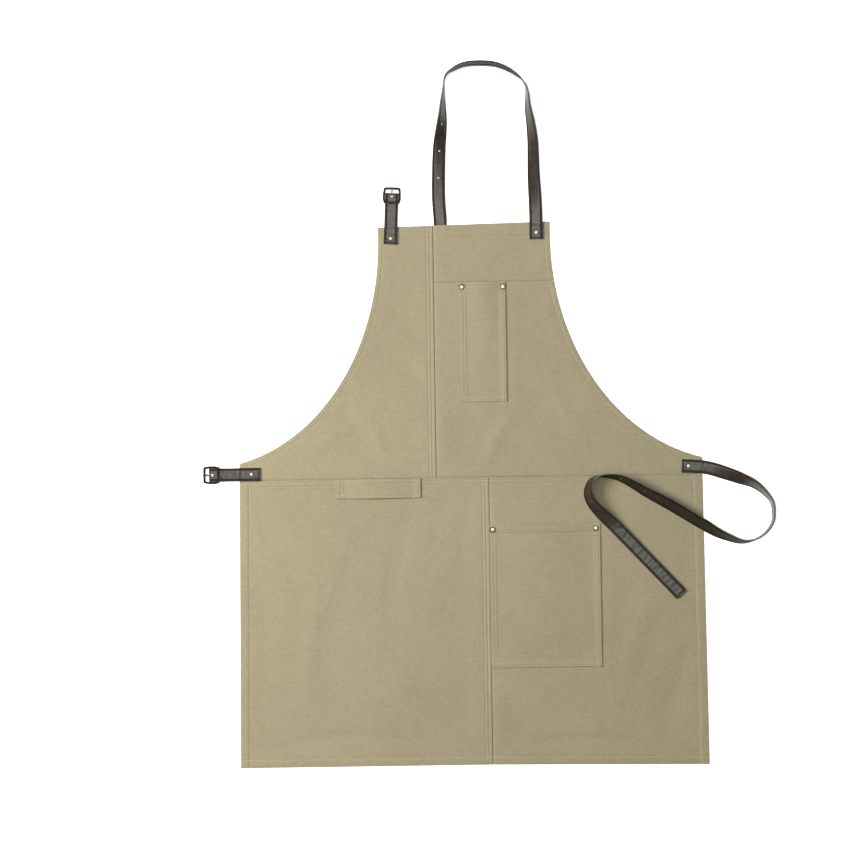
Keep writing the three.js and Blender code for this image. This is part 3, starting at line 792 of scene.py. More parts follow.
@dataclass
class SewnPiece:
    """A flat piece between two side outlines, whose grid follows its hems, seams and stitches.

    The outlines run from the bottom edge to the top edge. The top lies at the level `top`, and
    the edges are given as grid lines, outermost first.
    """

    name: str
    left: Plan
    right: Plan
    edges: dict[str, list[Line]]
    top: float = CLOTH_TOP
    step: float = 3.0
    flange_rows: tuple[float, float] = (-1e6, 1e6)
    flange_inset: tuple[float, float] = (0.0, 0.0)
    row_gap: float = 0.8
    close_reach: float = 3.0
    far_reach: float = 110.0
    squeeze: float = 0.03
    stitch_rows: list[Array] = field(init=False, repr=False, default_factory=list)

    def relief(self, x: Array, y: Array, inset: Array) -> Array:
        """How far the piece sinks below its level at each place, before it is sewn."""
        return np.zeros_like(x)

    def shape_underside(self, x: Array, y: Array, level: Array) -> Array:
        """Changes the underside's level where something lies below the piece."""
        return level

    def _rows(self) -> tuple[Array, Array]:
        """Heights of the grid's rows at the left and right outline."""
        sides = [np.array(side) for side in (self.left, self.right)]
        low = np.array([line.inset for line in self.edges["bottom"]])
        high = np.array([line.inset for line in self.edges["top"]][::-1])
        longer = max(sides, key=lambda side: travelled(side)[-1])
        travel = travelled(longer)
        evenly = np.interp(np.linspace(0, travel[-1], round(travel[-1] / self.step)), travel, longer[:, 1])
        bottom, top = longer[0, 1] + low[-1], longer[-1, 1] - high[0]
        inside = evenly[(evenly > bottom + self.row_gap) & (evenly < top - self.row_gap)]
        shares = (inside - bottom) / (top - bottom)
        levels = []
        for side in sides:
            first, last = side[0, 1], side[-1, 1]
            between = first + low[-1] + shares * (last - high[0] - first - low[-1])
            levels.append(np.concatenate([first + low, between, last - high]))
        return levels[0], levels[1]

    def _near(self, side: Plan, sign: int, rows: Array, lines: list[Line], slope: Array) -> Array:
        """Places across, in each row, of the grid lines beside one side outline.

        Args:
            side: The outline.
            sign: 1 for the left outline and -1 for the right one.
            rows: Height of each row at this outline.
            lines: The grid lines beside the outline.
            slope: How fast each row rises along +X.

        Returns:
            One row of places for each grid row.
        """
        outline = np.array(side)
        ends = [2 * outline[0] - outline[1], 2 * outline[-1] - outline[-2]]
        outline = np.vstack([ends[:1], outline, ends[1:]])
        edge = np.interp(rows, outline[:, 1], outline[:, 0])
        close = np.linspace(0, self.close_reach, 13)[:-1]
        reach = np.concatenate([close, np.linspace(self.close_reach, self.far_reach, 60)])
        x = edge[:, None] + sign * reach
        y = rows[:, None] + slope[:, None] * (x - edge[:, None])
        away = distance_to(x, y, outline)
        away = np.maximum.accumulate(away, axis=1) + reach * 1e-6
        insets = np.array([line.inset for line in lines])
        inside = (rows > self.flange_rows[0]) & (rows < self.flange_rows[1])
        places = np.empty((len(rows), len(lines)))
        for row in range(len(rows)):
            shift = np.interp(insets, away[row], reach)
            outside = insets * (1.0 if inside[row] else self.squeeze)
            places[row] = edge[row] + sign * np.where(insets < 0, outside, shift)
        return places

    def _plan(self) -> tuple[Array, Array]:
        """Lays out the grid in plan.

        Returns:
            The places across and the places along, rows by columns.
        """
        row_left, row_right = self._rows()
        ends = [
            np.interp(rows, np.array(side)[:, 1], np.array(side)[:, 0])
            for rows, side in ((row_left, self.left), (row_right, self.right))
        ]
        slope = (row_right - row_left) / (ends[1] - ends[0])
        left = self._near(self.left, 1, row_left, self.edges["left"], slope)
        right = self._near(self.right, -1, row_right, self.edges["right"], slope)[:, ::-1]
        flange = row_left < self.left[0][1]
        left[flange] += self.flange_inset[0]
        right[flange] -= self.flange_inset[1]
        widest = (right[:, 0] - left[:, -1]).max()
        count = max(2, round(widest / self.step))
        shares = np.linspace(0, 1, count + 1)[1:-1]
        middle = left[:, -1:] + (right[:, :1] - left[:, -1:]) * shares
        x = np.hstack([left, middle, right])
        return x, row_left[:, None] + slope[:, None] * (x - ends[0][:, None])

    def _lines(self, first: str, last: str, count: int) -> list[Line]:
        """The grid lines from one edge to the opposite one, with plain lines between them."""
        near, far = self.edges[first], self.edges[last][::-1]
        return [*near, *[Line(0)] * (count - len(near) - len(far)), *far]

    def build(self) -> Piece:
        """Makes the piece as a closed skin with a top, an underside and rounded edges.

        Returns:
            The new object.
        """
        x, y = self._plan()
        along = self._lines("bottom", "top", x.shape[0])
        across = self._lines("left", "right", x.shape[1])
        drop, sink, thick, rise = (
            np.maximum.outer([getattr(line, part) for line in along], [getattr(line, part) for line in across])
            for part in ("drop", "sink", "thick", "rise")
        )
        inset = distance_to(x, y, self.outline())
        sunk = self.top - np.maximum(sink, 0) - self.relief(x, y, inset) * (sink < 1)
        top = np.maximum(sunk - drop, LEAST_TOP)
        under = self.shape_underside(x, y, sunk - thick + rise)
        under = np.minimum(under, top - LEAST_PLY)
        grid = np.dstack([x, y, top])
        self.stitch_rows = [grid[row, 2:-2] for row, line in enumerate(along) if line.stitched]
        self.stitch_rows += [grid[2:-2, column] for column, line in enumerate(across) if line.stitched]
        return closed_skin(self.name, grid, np.dstack([x, y, under]))

    def outline(self) -> Array:
        """The piece's closed outline in plan."""
        return np.array([*self.left, *self.right[::-1], self.left[0]])

    def area(self) -> float:
        """The finished flat area in square metres."""
        x, y = self.outline()[:-1].T
        return abs((x * np.roll(y, -1) - y * np.roll(x, -1)).sum()) / 2 * MM * MM

    def flat(self) -> tuple[float, float]:
        """The finished flat width and length in metres."""
        corners = self.outline()
        width, length = (corners.max(0) - corners.min(0)) * MM
        return float(width), float(length)


def closed_skin(name: str, top: Array, under: Array) -> Piece:
    """A closed mesh between a top and an underside grid, which meet along the top's rim.

    Args:
        name: Name of the object.
        top: Grid of points of the top, rows by columns by 3.
        under: Grid of the same size for the underside; its rim isn't used.

    Returns:
        The new object.
    """
    rows, columns = top.shape[:2]
    upper = np.arange(rows * columns).reshape(rows, columns)
    lower = upper.copy()
    lower[1:-1, 1:-1] = rows * columns + np.arange((rows - 2) * (columns - 2)).reshape(rows - 2, columns - 2)
    faces = []
    for grid, order in ((upper, (0, 1, 2, 3)), (lower, (3, 2, 1, 0))):
        corners = [grid[:-1, :-1], grid[:-1, 1:], grid[1:, 1:], grid[1:, :-1]]
        faces += np.stack([corners[i].ravel() for i in order], axis=1).tolist()
    points = np.vstack([top.reshape(-1, 3), under[1:-1, 1:-1].reshape(-1, 3)])
    return new_mesh(name, points, faces)


# ---------------------------------------------------------------- stitches


@dataclass(frozen=True)
class Stitch:
    """One stitch of a row: its length, the pitch of the row and the thread's thickness."""

    length: float = 2.2
    pitch: float = 3.6
    thickness: float = 0.75
    taper: float = 0.55
    dip: float = 0.45
    sides: int = 6

    def model(self) -> tuple[Array, list[tuple[int, ...]]]:
        """Models one stitch as a bar whose ends taper and dip into the cloth.

        Returns:
            Its points along +X in millimetres, and its faces.
        """
        bar = cylinder("stitch", self.thickness / 2, 0.6 * self.length, self.sides, turn=(0, QUARTER_TURN, 0))
        for end in (-1, 1):
            with editing(bar, faces=lambda face: face.normal.x * end > 0.9):
                outward = (end * 0.2 * self.length * MM, 0, 0)
                bpy.ops.mesh.extrude_region_move(TRANSFORM_OT_translate={"value": outward})
                bpy.ops.transform.resize(value=(1, self.taper, self.taper))
                bpy.ops.transform.translate(value=(0, 0, -self.dip * self.thickness * MM))
        points = coordinates(bar)
        faces = [tuple(face.vertices) for face in bar.data.polygons]
        bpy.data.objects.remove(bar)
        return points, faces

    def sew(self, name: str, rows: list[Array], lift: float = 0.2) -> Piece:
        """Lays stitches along rows of points, as one mesh.

        Args:
            name: Name of the new object.
            rows: Each row's points on the surface, in millimetres.
            lift: Height of a stitch's middle above the row.

        Returns:
            The stitches.
        """
        bar, faces = self.model()
        reach = self.length * np.array([-0.4, 0.4])
        points, corners = [], []
        for row in rows:
            travel = travelled(row)
            count = int(travel[-1] / self.pitch)
            for start in (np.arange(count) + 0.5) * travel[-1] / max(count, 1):
                tail, tip = (Vector(place) for place in sampled(row, travel, start + reach))
                along = (tip - tail).normalized()
                aside = Vector((0, 0, 1)).cross(along).normalized()
                up = along.cross(aside)
                base = len(points) * len(bar)
                points.append(bar @ np.array([along, aside, up]) + np.array((tail + tip) / 2 + up * lift))
                corners += [tuple(base + corner for corner in face) for face in faces]
        return new_mesh(name, np.vstack(points), corners)


# ---------------------------------------------------------------- cloth


def bib_top(x: float) -> float:
    """Height of the bib's top edge, which is cut a little aslant."""
    return BIB_HEIGHT + BIB_TOP_TILT * (x - BIB_SHIFT) / BIB_WIDTH


def armhole(side: int, low: float, high: float, steps: int = 60) -> list[tuple[float, float]]:
    """Points up one armhole, a quarter of an ellipse with a short straight run above it.

    Args:
        side: -1 for the left armhole and 1 for the right one.
        low: Height of the first point.
        high: Height of the last point.
        steps: Points round the whole quarter.

    Returns:
        The points from the lowest up.
    """
    corner = BIB_SHIFT + side * BIB_WIDTH / 2
    centre_x = side * (WAIST_HALF + ARMHOLE_OVERRUN)
    centre_y = bib_top(corner) - TOP_STRAIGHT
    radius_x = abs(centre_x - corner)
    radius_y = (centre_y - SIDE_RISE) / math.sqrt(1 - (ARMHOLE_OVERRUN / radius_x) ** 2)
    angles = [math.asin(max(0.0, (centre_y - y) / radius_y)) for y in (low, high)]
    points = [
        (centre_x - side * radius_x * math.cos(angle), centre_y - radius_y * math.sin(angle))
        for angle in np.linspace(*angles, steps)
    ]
    return points + [(corner, high)] if high > centre_y else points


WRINKLE_LAYERS = ((0.42, 150, 95, 1.7), (0.26, 52, 44, 4.1), (0.10, 20, 17, 8.6))
CREASE_BEND = 0.12
CREASE_BEND_LENGTH = 60.0
CREASE_STEEPNESS = 2.7


class SoftFold(NamedTuple):
    """A soft crease: its middle, its direction in degrees, its length, width and height."""

    x: float
    y: float
    turn: float
    length: float
    width: float
    height: float


SOFT_FOLDS = (
    SoftFold(-105, 215, -25, 75, 22, 0.7),
    SoftFold(-95, 165, -35, 90, 26, -0.6),
    SoftFold(-150, 80, -58, 120, 30, 0.6),
    SoftFold(-215, 60, 35, 110, 26, 0.5),
    SoftFold(40, 60, 62, 130, 28, 0.6),
    SoftFold(20, 140, -40, 90, 26, -0.5),
    SoftFold(150, 85, -62, 110, 30, 0.6),
    SoftFold(230, 45, -30, 120, 24, 0.5),
    SoftFold(30, 330, 28, 60, 20, 0.4),
    SoftFold(-330, -70, -68, 130, 26, 0.7),
    SoftFold(-300, -130, -60, 140, 32, 0.6),
    SoftFold(-235, -210, 78, 220, 40, 0.6),
    SoftFold(-120, -160, 84, 200, 38, -0.6),
    SoftFold(-60, -300, 12, 200, 36, 0.6),
    SoftFold(-200, -385, 4, 240, 20, -0.6),
    SoftFold(60, -330, -18, 180, 32, 0.5),
    SoftFold(180, -395, -3, 220, 20, -0.6),
    SoftFold(250, -230, 66, 190, 36, 0.6),
    SoftFold(300, -330, 74, 160, 30, -0.5),
)


def wrinkles(x: Array, y: Array) -> Array:
    """Height of the cloth's broad soft wrinkles and creases at each place."""
    height = sum(share * noise_field(x, y, *layer) for share, *layer in WRINKLE_LAYERS)
    for crease in SOFT_FOLDS:
        turn = math.radians(crease.turn)
        along = (x - crease.x) * math.cos(turn) + (y - crease.y) * math.sin(turn)
        across = (y - crease.y) * math.cos(turn) - (x - crease.x) * math.sin(turn)
        across += CREASE_BEND * along * np.sin(along / CREASE_BEND_LENGTH)
        shape = np.exp(-((along / crease.length * 2) ** 2) - (across / crease.width * CREASE_STEEPNESS) ** 2)
        height += crease.height * shape
    return height


@dataclass
class Panel(SewnPiece):
    """A panel of the apron's body, which sags between its hems and lies flat under what is on it.

    The tunnel is the room for a strap tucked under a hem: its left and right side and its bottom.
    """

    calm: list[Array] = field(default_factory=list)
    rivets: list[tuple[float, float]] = field(default_factory=list)
    tunnel: Triple | None = None
    slack: float = 0.9
    wrinkling: float = 2.0
    deepest: float = 1.8
    pucker: float = 0.17
    tunnel_rise: float = 0.8
    tunnel_slope: float = 4.0
    tunnel_room: float = 2.5
    rivet_reach: float = 5.2
    rivet_room: float = 1.65

    def relief(self, x: Array, y: Array, inset: Array) -> Array:
        """Sags in the open cloth, and puckers along the hems and seams."""
        free = smoothstep(inset, 7, 42)
        for outline in self.calm:
            free = free * (0.12 + 0.88 * smoothstep(distance_to(x, y, outline), 8, 40))
        pucker = noise_field(x, y, 10, 10, 7.3) * (1 - smoothstep(inset, 14, 30))
        sag = np.clip(self.slack - self.wrinkling * wrinkles(x, y), 0.0, self.deepest) * free
        sag += self.pucker * pucker
        if self.tunnel:
            low, high, bottom = self.tunnel
            slope = self.tunnel_slope
            over = smoothstep(x, low - slope, low) * (1 - smoothstep(x, high, high + slope))
            sag -= self.tunnel_rise * over * smoothstep(y, bottom - slope, bottom)
        return sag

    def shape_underside(self, x: Array, y: Array, level: Array) -> Array:
        """Leaves room for the rivets' backs and for a strap that is tucked under a hem."""
        for across, up in self.rivets:
            near = np.hypot(x - across, y - up) < self.rivet_reach
            level = np.where(near, np.maximum(level, self.rivet_room), level)
        if self.tunnel:
            low, high, bottom = self.tunnel
            inside = (x > low - 0.5) & (x < high + 0.5) & (y > bottom)
            level = np.where(inside, np.maximum(level, self.tunnel_room), level)
        return np.maximum(level, LEAST_UNDERSIDE)


@dataclass
class Patch(SewnPiece):
    """A patch pocket or a band, bowed up where it isn't sewn down."""

    bow: float = 2.5
    margin: float = 9.0
    mouth: bool = True
    waving: float = 0.3
    pucker: float = 0.14
    sewn_sink: float = 0.5
    closed_share: float = 0.35

    def relief(self, x: Array, y: Array, inset: Array) -> Array:
        """Rises in the middle, and most at the mouth of a pocket."""
        low, high = np.array(self.left)[0], np.array(self.right)[-1]
        across = np.clip((x - low[0] - self.margin) / (high[0] - low[0] - 2 * self.margin), 0, 1)
        bow = self.bow * np.sin(np.pi * across) ** 1.3
        if self.mouth:
            up = np.clip((y - low[1] - self.margin) / (high[1] - low[1] - self.margin), 0, 1)
            bow = bow * (self.closed_share + (1 - self.closed_share) * up) * smoothstep(up, 0, 0.15)
        waves = self.waving * noise_field(x, y, 34, 46, 2.2) * smoothstep(inset, 8, 20)
        pucker = self.pucker * noise_field(x, y, 8, 8, 5.9) * (1 - smoothstep(inset, 8, 14))
        return self.sewn_sink * smoothstep(inset, 10, 16) + pucker - waves - bow


def sew_cloth(cloth: SewnPiece, name: str, replaced: str, finishes: Finishes) -> tuple[Piece, Piece]:
    """Makes and dresses a piece of cloth and its topstitching.

    Args:
        cloth: The piece's plan.
        name: Name of its object.
        replaced: The frame node that it replaces.
        finishes: The apron's materials.

    Returns:
        The piece and its thread.
    """
    piece = cloth.build()
    smooth(piece, CLOTH_ANGLE)
    piece.name = name
    dress(piece, Slot.CANVAS, finishes.canvas, replaced=(replaced,))
    thread = Stitch().sew(f"{cloth.name}_topstitch", cloth.stitch_rows)
    dress(thread, Slot.CANVAS, finishes.thread)
    return piece, thread


@dataclass
class ApronBody:
    """The five canvas panels that are sewn together into the skirt and the bib."""

    finishes: Finishes
    side_hem: float = 16.0
    bottom_hem: float = 13.5
    top_hem: float = 22.5
    armhole_hem: float = 9.5
    waist_rows: tuple[float, float] = (4.5, 10.5)
    upright_rows: tuple[float, float] = (5.0, 10.0)
    yoke_rows: tuple[float, float] = (3.5, 7.5)
    tuck: float = 10.6
    tucked: tuple[float, float] = (-51.3, -30.1)
    clear: float = 0.3

    def panels(self) -> list[Panel]:
        """Lays out the panels' outlines and edges.

        Returns:
            The panels, lowest first.
        """
        gap = SEAM_GAP
        low = -SKIRT_DROP
        upright = upper_seam(*self.upright_rows)
        waist = upper_seam(*self.waist_rows)
        bottom, side, top, armhole_side = (
            hem(width) for width in (self.bottom_hem, self.side_hem, self.top_hem, self.armhole_hem)
        )
        skirt_left = Panel(
            "skirt_left",
            ((-HEM_HALF, low), (-WAIST_HALF, -gap)),
            ((SKIRT_SEAM_X - gap, low), (SKIRT_SEAM_X - gap, -gap)),
            dict(bottom=bottom, top=waist, left=side, right=upright),
        )
        skirt_right = Panel(
            "skirt_right",
            ((SKIRT_SEAM_X + gap, low), (SKIRT_SEAM_X + gap, -gap)),
            ((HEM_HALF, low - HEM_TILT), (WAIST_HALF, -gap)),
            dict(bottom=bottom, top=waist, left=lower_seam(), right=side),
            flange_rows=(low + self.bottom_hem + 1, -SEAM_ALLOWANCE - 1),
        )
        bib_left = Panel(
            "bib_left",
            ((-WAIST_HALF, gap), *armhole(-1, SIDE_RISE, bib_top(LEFT_CORNER_X))),
            ((BIB_SEAM_X - gap, gap), (BIB_SEAM_X - gap, bib_top(BIB_SEAM_X))),
            dict(bottom=lower_seam(), top=top, left=armhole_side, right=upright),
            flange_inset=(self.side_hem + self.clear, 0),
        )
        bib_right = Panel(
            "bib_right",
            ((BIB_SEAM_X + gap, gap), (BIB_SEAM_X + gap, YOKE_Y - gap)),
            ((WAIST_HALF, gap), *armhole(1, SIDE_RISE, YOKE_Y - gap)),
            dict(bottom=lower_seam(), top=upper_seam(*self.yoke_rows), left=lower_seam(), right=armhole_side),
            flange_rows=(0.5, 1e6),
            flange_inset=(0, self.side_hem + self.clear),
        )
        yoke = Panel(
            "bib_yoke",
            ((BIB_SEAM_X + gap, YOKE_Y + gap), (BIB_SEAM_X + gap, bib_top(BIB_SEAM_X))),
            tuple(armhole(1, YOKE_Y + gap, bib_top(RIGHT_CORNER_X), 16)),
            dict(bottom=lower_seam(), top=top, left=lower_seam(), right=armhole_side),
            flange_rows=(YOKE_Y + 0.5, BIB_HEIGHT - self.top_hem - 1),
            flange_inset=(0, self.armhole_hem + self.clear),
            tunnel=(*self.tucked, BIB_HEIGHT - self.tuck),
        )
        return [skirt_left, skirt_right, bib_left, bib_right, yoke]

    def build(self, calm: list[Array], rivets: list[tuple[float, float]]) -> None:
        """Args:
            calm: Outlines of what is sewn to the cloth or lies on it.
            rivets: Places of the rivets.
        """
        for panel in self.panels():
            panel.calm, panel.rivets = calm, rivets
            piece, thread = sew_cloth(panel, panel.name, f"{panel.name}_panel", self.finishes)
            flat, area = panel.flat(), panel.area()


@dataclass
class Pockets:
    """The two patch pockets and the towel loop, sewn on the front."""

    finishes: Finishes
    on_cloth: float = 4.25
    loop_on_cloth: float = 4.9
    side_rows: tuple[float, float] = (1.8, 6.8)
    bib_mouth: float = 7.8
    skirt_mouth: float = 15.0
    loop_row: float = 2.6
    loop_end_rows: tuple[float, float] = (1.8, 9.0)
    step: float = 2.8

    def _patch(
        self, name: str, x: float, width: float, y: float, height: float, edges: dict, **shape: object
    ) -> Patch:
        """A rectangular patch from its left edge, width, top edge and height."""
        left = ((x, y - height), (x, y))
        right = ((x + width, y - height), (x + width, y))
        return Patch(name, left, right, edges, step=self.step, **shape)

    def patches(self) -> list[Patch]:
        """Lays out the three patches."""
        sewn = patch_edge(*self.side_rows)
        found = []
        for name, x, width, y, height, mouth, bow in (
            ("bib_pocket", -13.5, 69.5, YOKE_Y, 180.0, self.bib_mouth, 1.9),
            ("skirt_pocket", SKIRT_SEAM_X + SEAM_GAP, 166.0, -71.0, 214.5, self.skirt_mouth, 3.0),
        ):
            edges = dict(bottom=sewn, top=patch_edge(mouth), left=sewn, right=sewn)
            found.append(self._patch(name, x, width, y, height, edges, top=self.on_cloth, bow=bow))
        long, end = patch_edge(self.loop_row), patch_edge(*self.loop_end_rows)
        edges = dict(bottom=long, top=long, left=end, right=end)
        shape = {"top": self.loop_on_cloth, "bow": 2.4, "margin": 11.0, "mouth": False}
        found.append(self._patch("towel_loop", -203.0, 127.5, 0.0, 29.0, edges, **shape))
        return found

    def outlines(self) -> list[Array]:
        """The patches' outlines in plan."""
        return [patch.outline() for patch in self.patches()]

    def build(self) -> None:
        for patch in self.patches():
            piece, thread = sew_cloth(patch, f"{patch.name}_cloth", patch.name, self.finishes)
            patch.flat()


# ---------------------------------------------------------------- leather


def cut_edge(thick: float, below: bool = False) -> list[Line]:
    """A cut leather edge with its border row, grooved on the top or on the underside.

    Args:
        thick: Thickness of the leather.
        below: Whether the shown side is the underside.

    Returns:
        The grid lines beside the edge.
    """
    half, row = thick / 2, BORDER_ROW
    rim = [(0.0, half, half), (0.03, 0.2, 0.04), (0.3, 0.05, 0.0), (0.9, 0.0, 0.0)]
    groove = [(row - 0.8, 0.03, 0.0), (row, 0.42, 0.0), (row + 0.8, 0.03, 0.0), (row + 2.0, 0.0, 0.0)]
    lines = []
    for inset, shown, hidden in rim + groove:
        drop, rise = (hidden, shown) if below else (shown, hidden)
        lines.append(Line(inset, drop, 0, thick, rise, inset == row and not below))
    return lines


def cross_rows(place: float, level: float) -> list[Array]:
    """Two rows of stitches across a straight strap, at a distance along it and a height."""
    across = np.linspace(BORDER_ROW, STRAP_WIDTH - BORDER_ROW, 5)
    return [np.column_stack([across, np.full(5, place + shift), np.full(5, level)]) for shift in (-0.9, 0.9)]


@dataclass
class LeatherPly(SewnPiece):
    """A ply of leather, laid out straight with its length along +Y."""

    ripple: float = 0.05

    def relief(self, x: Array, y: Array, inset: Array) -> Array:
        """Ripples a little where the leather has been bent."""
        return self.ripple * noise_field(x, y, 9, 13, 3.3) * smoothstep(inset, 0.2, 3)


def catmull_rom(points: Array, places: Array) -> Array:
    """Points on a centripetal Catmull-Rom curve.

    Args:
        points: The knots.
        places: Where to take points, as knot numbers with fractions.

    Returns:
        One point for each place.
    """
    ends = np.vstack([2 * points[0] - points[1], points, 2 * points[-1] - points[-2]])
    first = np.minimum(places.astype(int), len(points) - 2)
    share = (places - first)[:, None]
    a, b, c, d = (ends[first + shift] for shift in range(4))
    gaps = [np.sqrt(np.linalg.norm(q - p, axis=1))[:, None] for p, q in ((a, b), (b, c), (c, d))]
    out = ((b - a) / gaps[0] - (c - a) / (gaps[0] + gaps[1]) + (c - b) / gaps[1]) * gaps[1]
    into = ((c - b) / gaps[1] - (d - b) / (gaps[1] + gaps[2]) + (d - c) / gaps[2]) * gaps[1]
    cubic = 2 * b - 2 * c + out + into
    square = -3 * b + 3 * c - 2 * out - into
    return ((cubic * share + square) * share + out) * share + b


@dataclass
class StrapLie:
    """How a strap lies: one long edge runs over knots of (x, y, roll in degrees, level).

    At roll 0 the strap lies face up, at 90 it stands on that edge, and past 90 it shows its lining.
    """

    knots: tuple[tuple[float, float, float, float], ...]
    samples: int = 1601
    blur: int = 30
    floor_gap: float = 0.05

    def __post_init__(self) -> None:
        """Works out the strap's directions along its length."""
        knots = np.array(self.knots, float)
        places = np.linspace(0, len(knots) - 1, self.samples)
        self.edge = catmull_rom(knots[:, :2], places)
        self.travel = travelled(self.edge)
        along = np.gradient(self.edge, self.travel, axis=0)
        along /= np.linalg.norm(along, axis=1)[:, None]
        roll, level = blurred(sampled(knots[:, 2:], np.arange(len(knots)), places), self.blur).T
        roll = np.radians(roll)
        aside = np.column_stack([-along[:, 1], along[:, 0]])
        self.across = np.column_stack([aside * np.cos(roll)[:, None], np.sin(roll)])
        self.outward = np.column_stack([-aside * np.sin(roll)[:, None], np.cos(roll)])
        lifted = level + np.maximum(0, -STRAP_THICKNESS * np.cos(roll))
        self.corner = np.column_stack([self.edge, lifted])

    @property
    def length(self) -> float:
        """Length of the strap."""
        return float(self.travel[-1])

    def lay(self, flat: Array) -> Array:
        """Moves points of the straight strap to where the strap lies."""
        tables = (self.corner, self.across, self.outward)
        corner, across, outward = (sampled(table, self.travel, flat[:, 1]) for table in tables)
        laid = corner + across * (STRAP_WIDTH - flat[:, :1]) + outward * flat[:, 2:]
        laid[:, 2] = np.maximum(laid[:, 2], self.floor_gap)
        return laid


def relay(piece: Piece, lay: Callable[[Array], Array]) -> None:
    """Moves all points of a straight piece to where it lies.

    Args:
        piece: The piece, laid out straight.
        lay: Takes points in millimetres to their places.
    """
    points = lay(coordinates(piece)) * MM
    piece.data.vertices.foreach_set("co", points.astype(np.float32).ravel())
    piece.data.update()


def unwrap_straight(piece: Piece) -> None:
    """Gives a straight leather piece its UV map in metres, and its cut walls the edge material."""
    for layer in list(piece.data.uv_layers):
        piece.data.uv_layers.remove(layer)
    layer = piece.data.uv_layers.new(name="leather")
    corners = np.empty(len(piece.data.loops), int)
    piece.data.loops.foreach_get("vertex_index", corners)
    points = coordinates(piece)[corners] * MM
    layer.data.foreach_set("uv", points[:, :2].astype(np.float32).ravel())
    for face in piece.data.polygons:
        face.material_index = int(abs(face.normal.z) < 0.6)


def finish_leather(piece: Piece, cutters: list[Piece], lay: Callable[[Array], Array]) -> None:
    """Punches a straight piece of leather, unwraps it and moves it to where it lies.

    Args:
        piece: The piece, laid out straight.
        cutters: What is cut out of it.
        lay: Takes points in millimetres to their places.
    """
    cutter = joined(cutters, "punch")
    finish_modifier(piece, "BOOLEAN", operation="DIFFERENCE", solver="EXACT", object=cutter)
    bpy.data.objects.remove(cutter)
    unwrap_straight(piece)
    relay(piece, lay)
    smooth(piece, LEATHER_ANGLE)


def stitch_leather(
    name: str, rows: list[Array], lift: float, lay: Callable[[Array], Array], thread: Material
) -> None:
    """Makes and dresses a leather piece's stitches.

    Args:
        name: Their name.
        rows: Points on the straight piece, row by row.
        lift: Height of a stitch's middle above its row.
        lay: Takes points in millimetres to their places.
        thread: The thread's material.
    """
    stitches = Stitch(length=2.9, pitch=3.5, thickness=0.8).sew(name, rows, lift)
    relay(stitches, lay)
    dress(stitches, Slot.FACE, thread)


@dataclass
class LeatherStrap:
    """A strap of two plies with a row of holes, stitched along its borders."""

    name: str
    lie: StrapLie
    finishes: Finishes
    holes_from_start: bool
    cross_row: float
    step: float = 2.4
    corner_cut: float = 2.2
    first_hole: float = 80.0
    hole_spacing: float = 40.0
    hole_count: int = 7
    hole_radius: float = 1.3
    pin_sides: int = 14
    pin_length: float = 12.0

    def _outline(self) -> tuple[Plan, Plan]:
        """The straight strap's two long edges, with the free end's corners cut off."""
        length, cut = self.lie.length, self.corner_cut
        if self.holes_from_start:
            ends = ((cut, 0.0), (0.0, cut), (0.0, length))
        else:
            ends = ((0.0, 0.0), (0.0, length - cut), (cut, length))
        return ends, tuple((STRAP_WIDTH - x, y) for x, y in ends)

    def _hole_places(self) -> list[float]:
        """Distances of the holes along the strap."""
        steps = [self.first_hole + i * self.hole_spacing for i in range(self.hole_count)]
        return steps if self.holes_from_start else [self.lie.length - step for step in steps]

    def _sewn_place(self, inset: float) -> float:
        """Distance along the strap of a place measured from its sewn end."""
        return self.lie.length - inset if self.holes_from_start else inset

    def _pins(self) -> list[Piece]:
        """Makes the pins that punch the holes."""
        return [
            cylinder("punch_pin", self.hole_radius, self.pin_length, self.pin_sides, (STRAP_WIDTH / 2, place, 0))
            for place in self._hole_places()
        ]

    def build(self) -> None:
        """Makes and dresses the plies and their thread."""
        left, right = self._outline()
        thick = PLY_FACE - PLY_GAP
        rows: list[Array] = []
        for side, top, below, finish, slot in (
            ("face", STRAP_THICKNESS, False, self.finishes.face, Slot.FACE),
            ("lining", thick, True, self.finishes.lining, Slot.LINING),
        ):
            edges = dict.fromkeys(SIDES, cut_edge(thick, below))
            ply = LeatherPly(f"{self.name}_{side}_ply", left, right, edges, top=top, step=self.step)
            piece = ply.build()
            finish_leather(piece, self._pins(), self.lie.lay)
            dress(piece, slot, finish, self.finishes.edge, replaced=(f"{self.name}_{side}",))
            rows += ply.stitch_rows
        crossing = cross_rows(self._sewn_place(self.cross_row), STRAP_THICKNESS)
        turned = [row * (1, 1, 0) for row in rows]
        for side, sewn, lift in (("face", rows + crossing, 0.12), ("lining", turned, -0.05)):
            stitch_leather(f"{self.name}_{side}_stitches", sewn, lift, self.lie.lay, self.finishes.dark_thread)


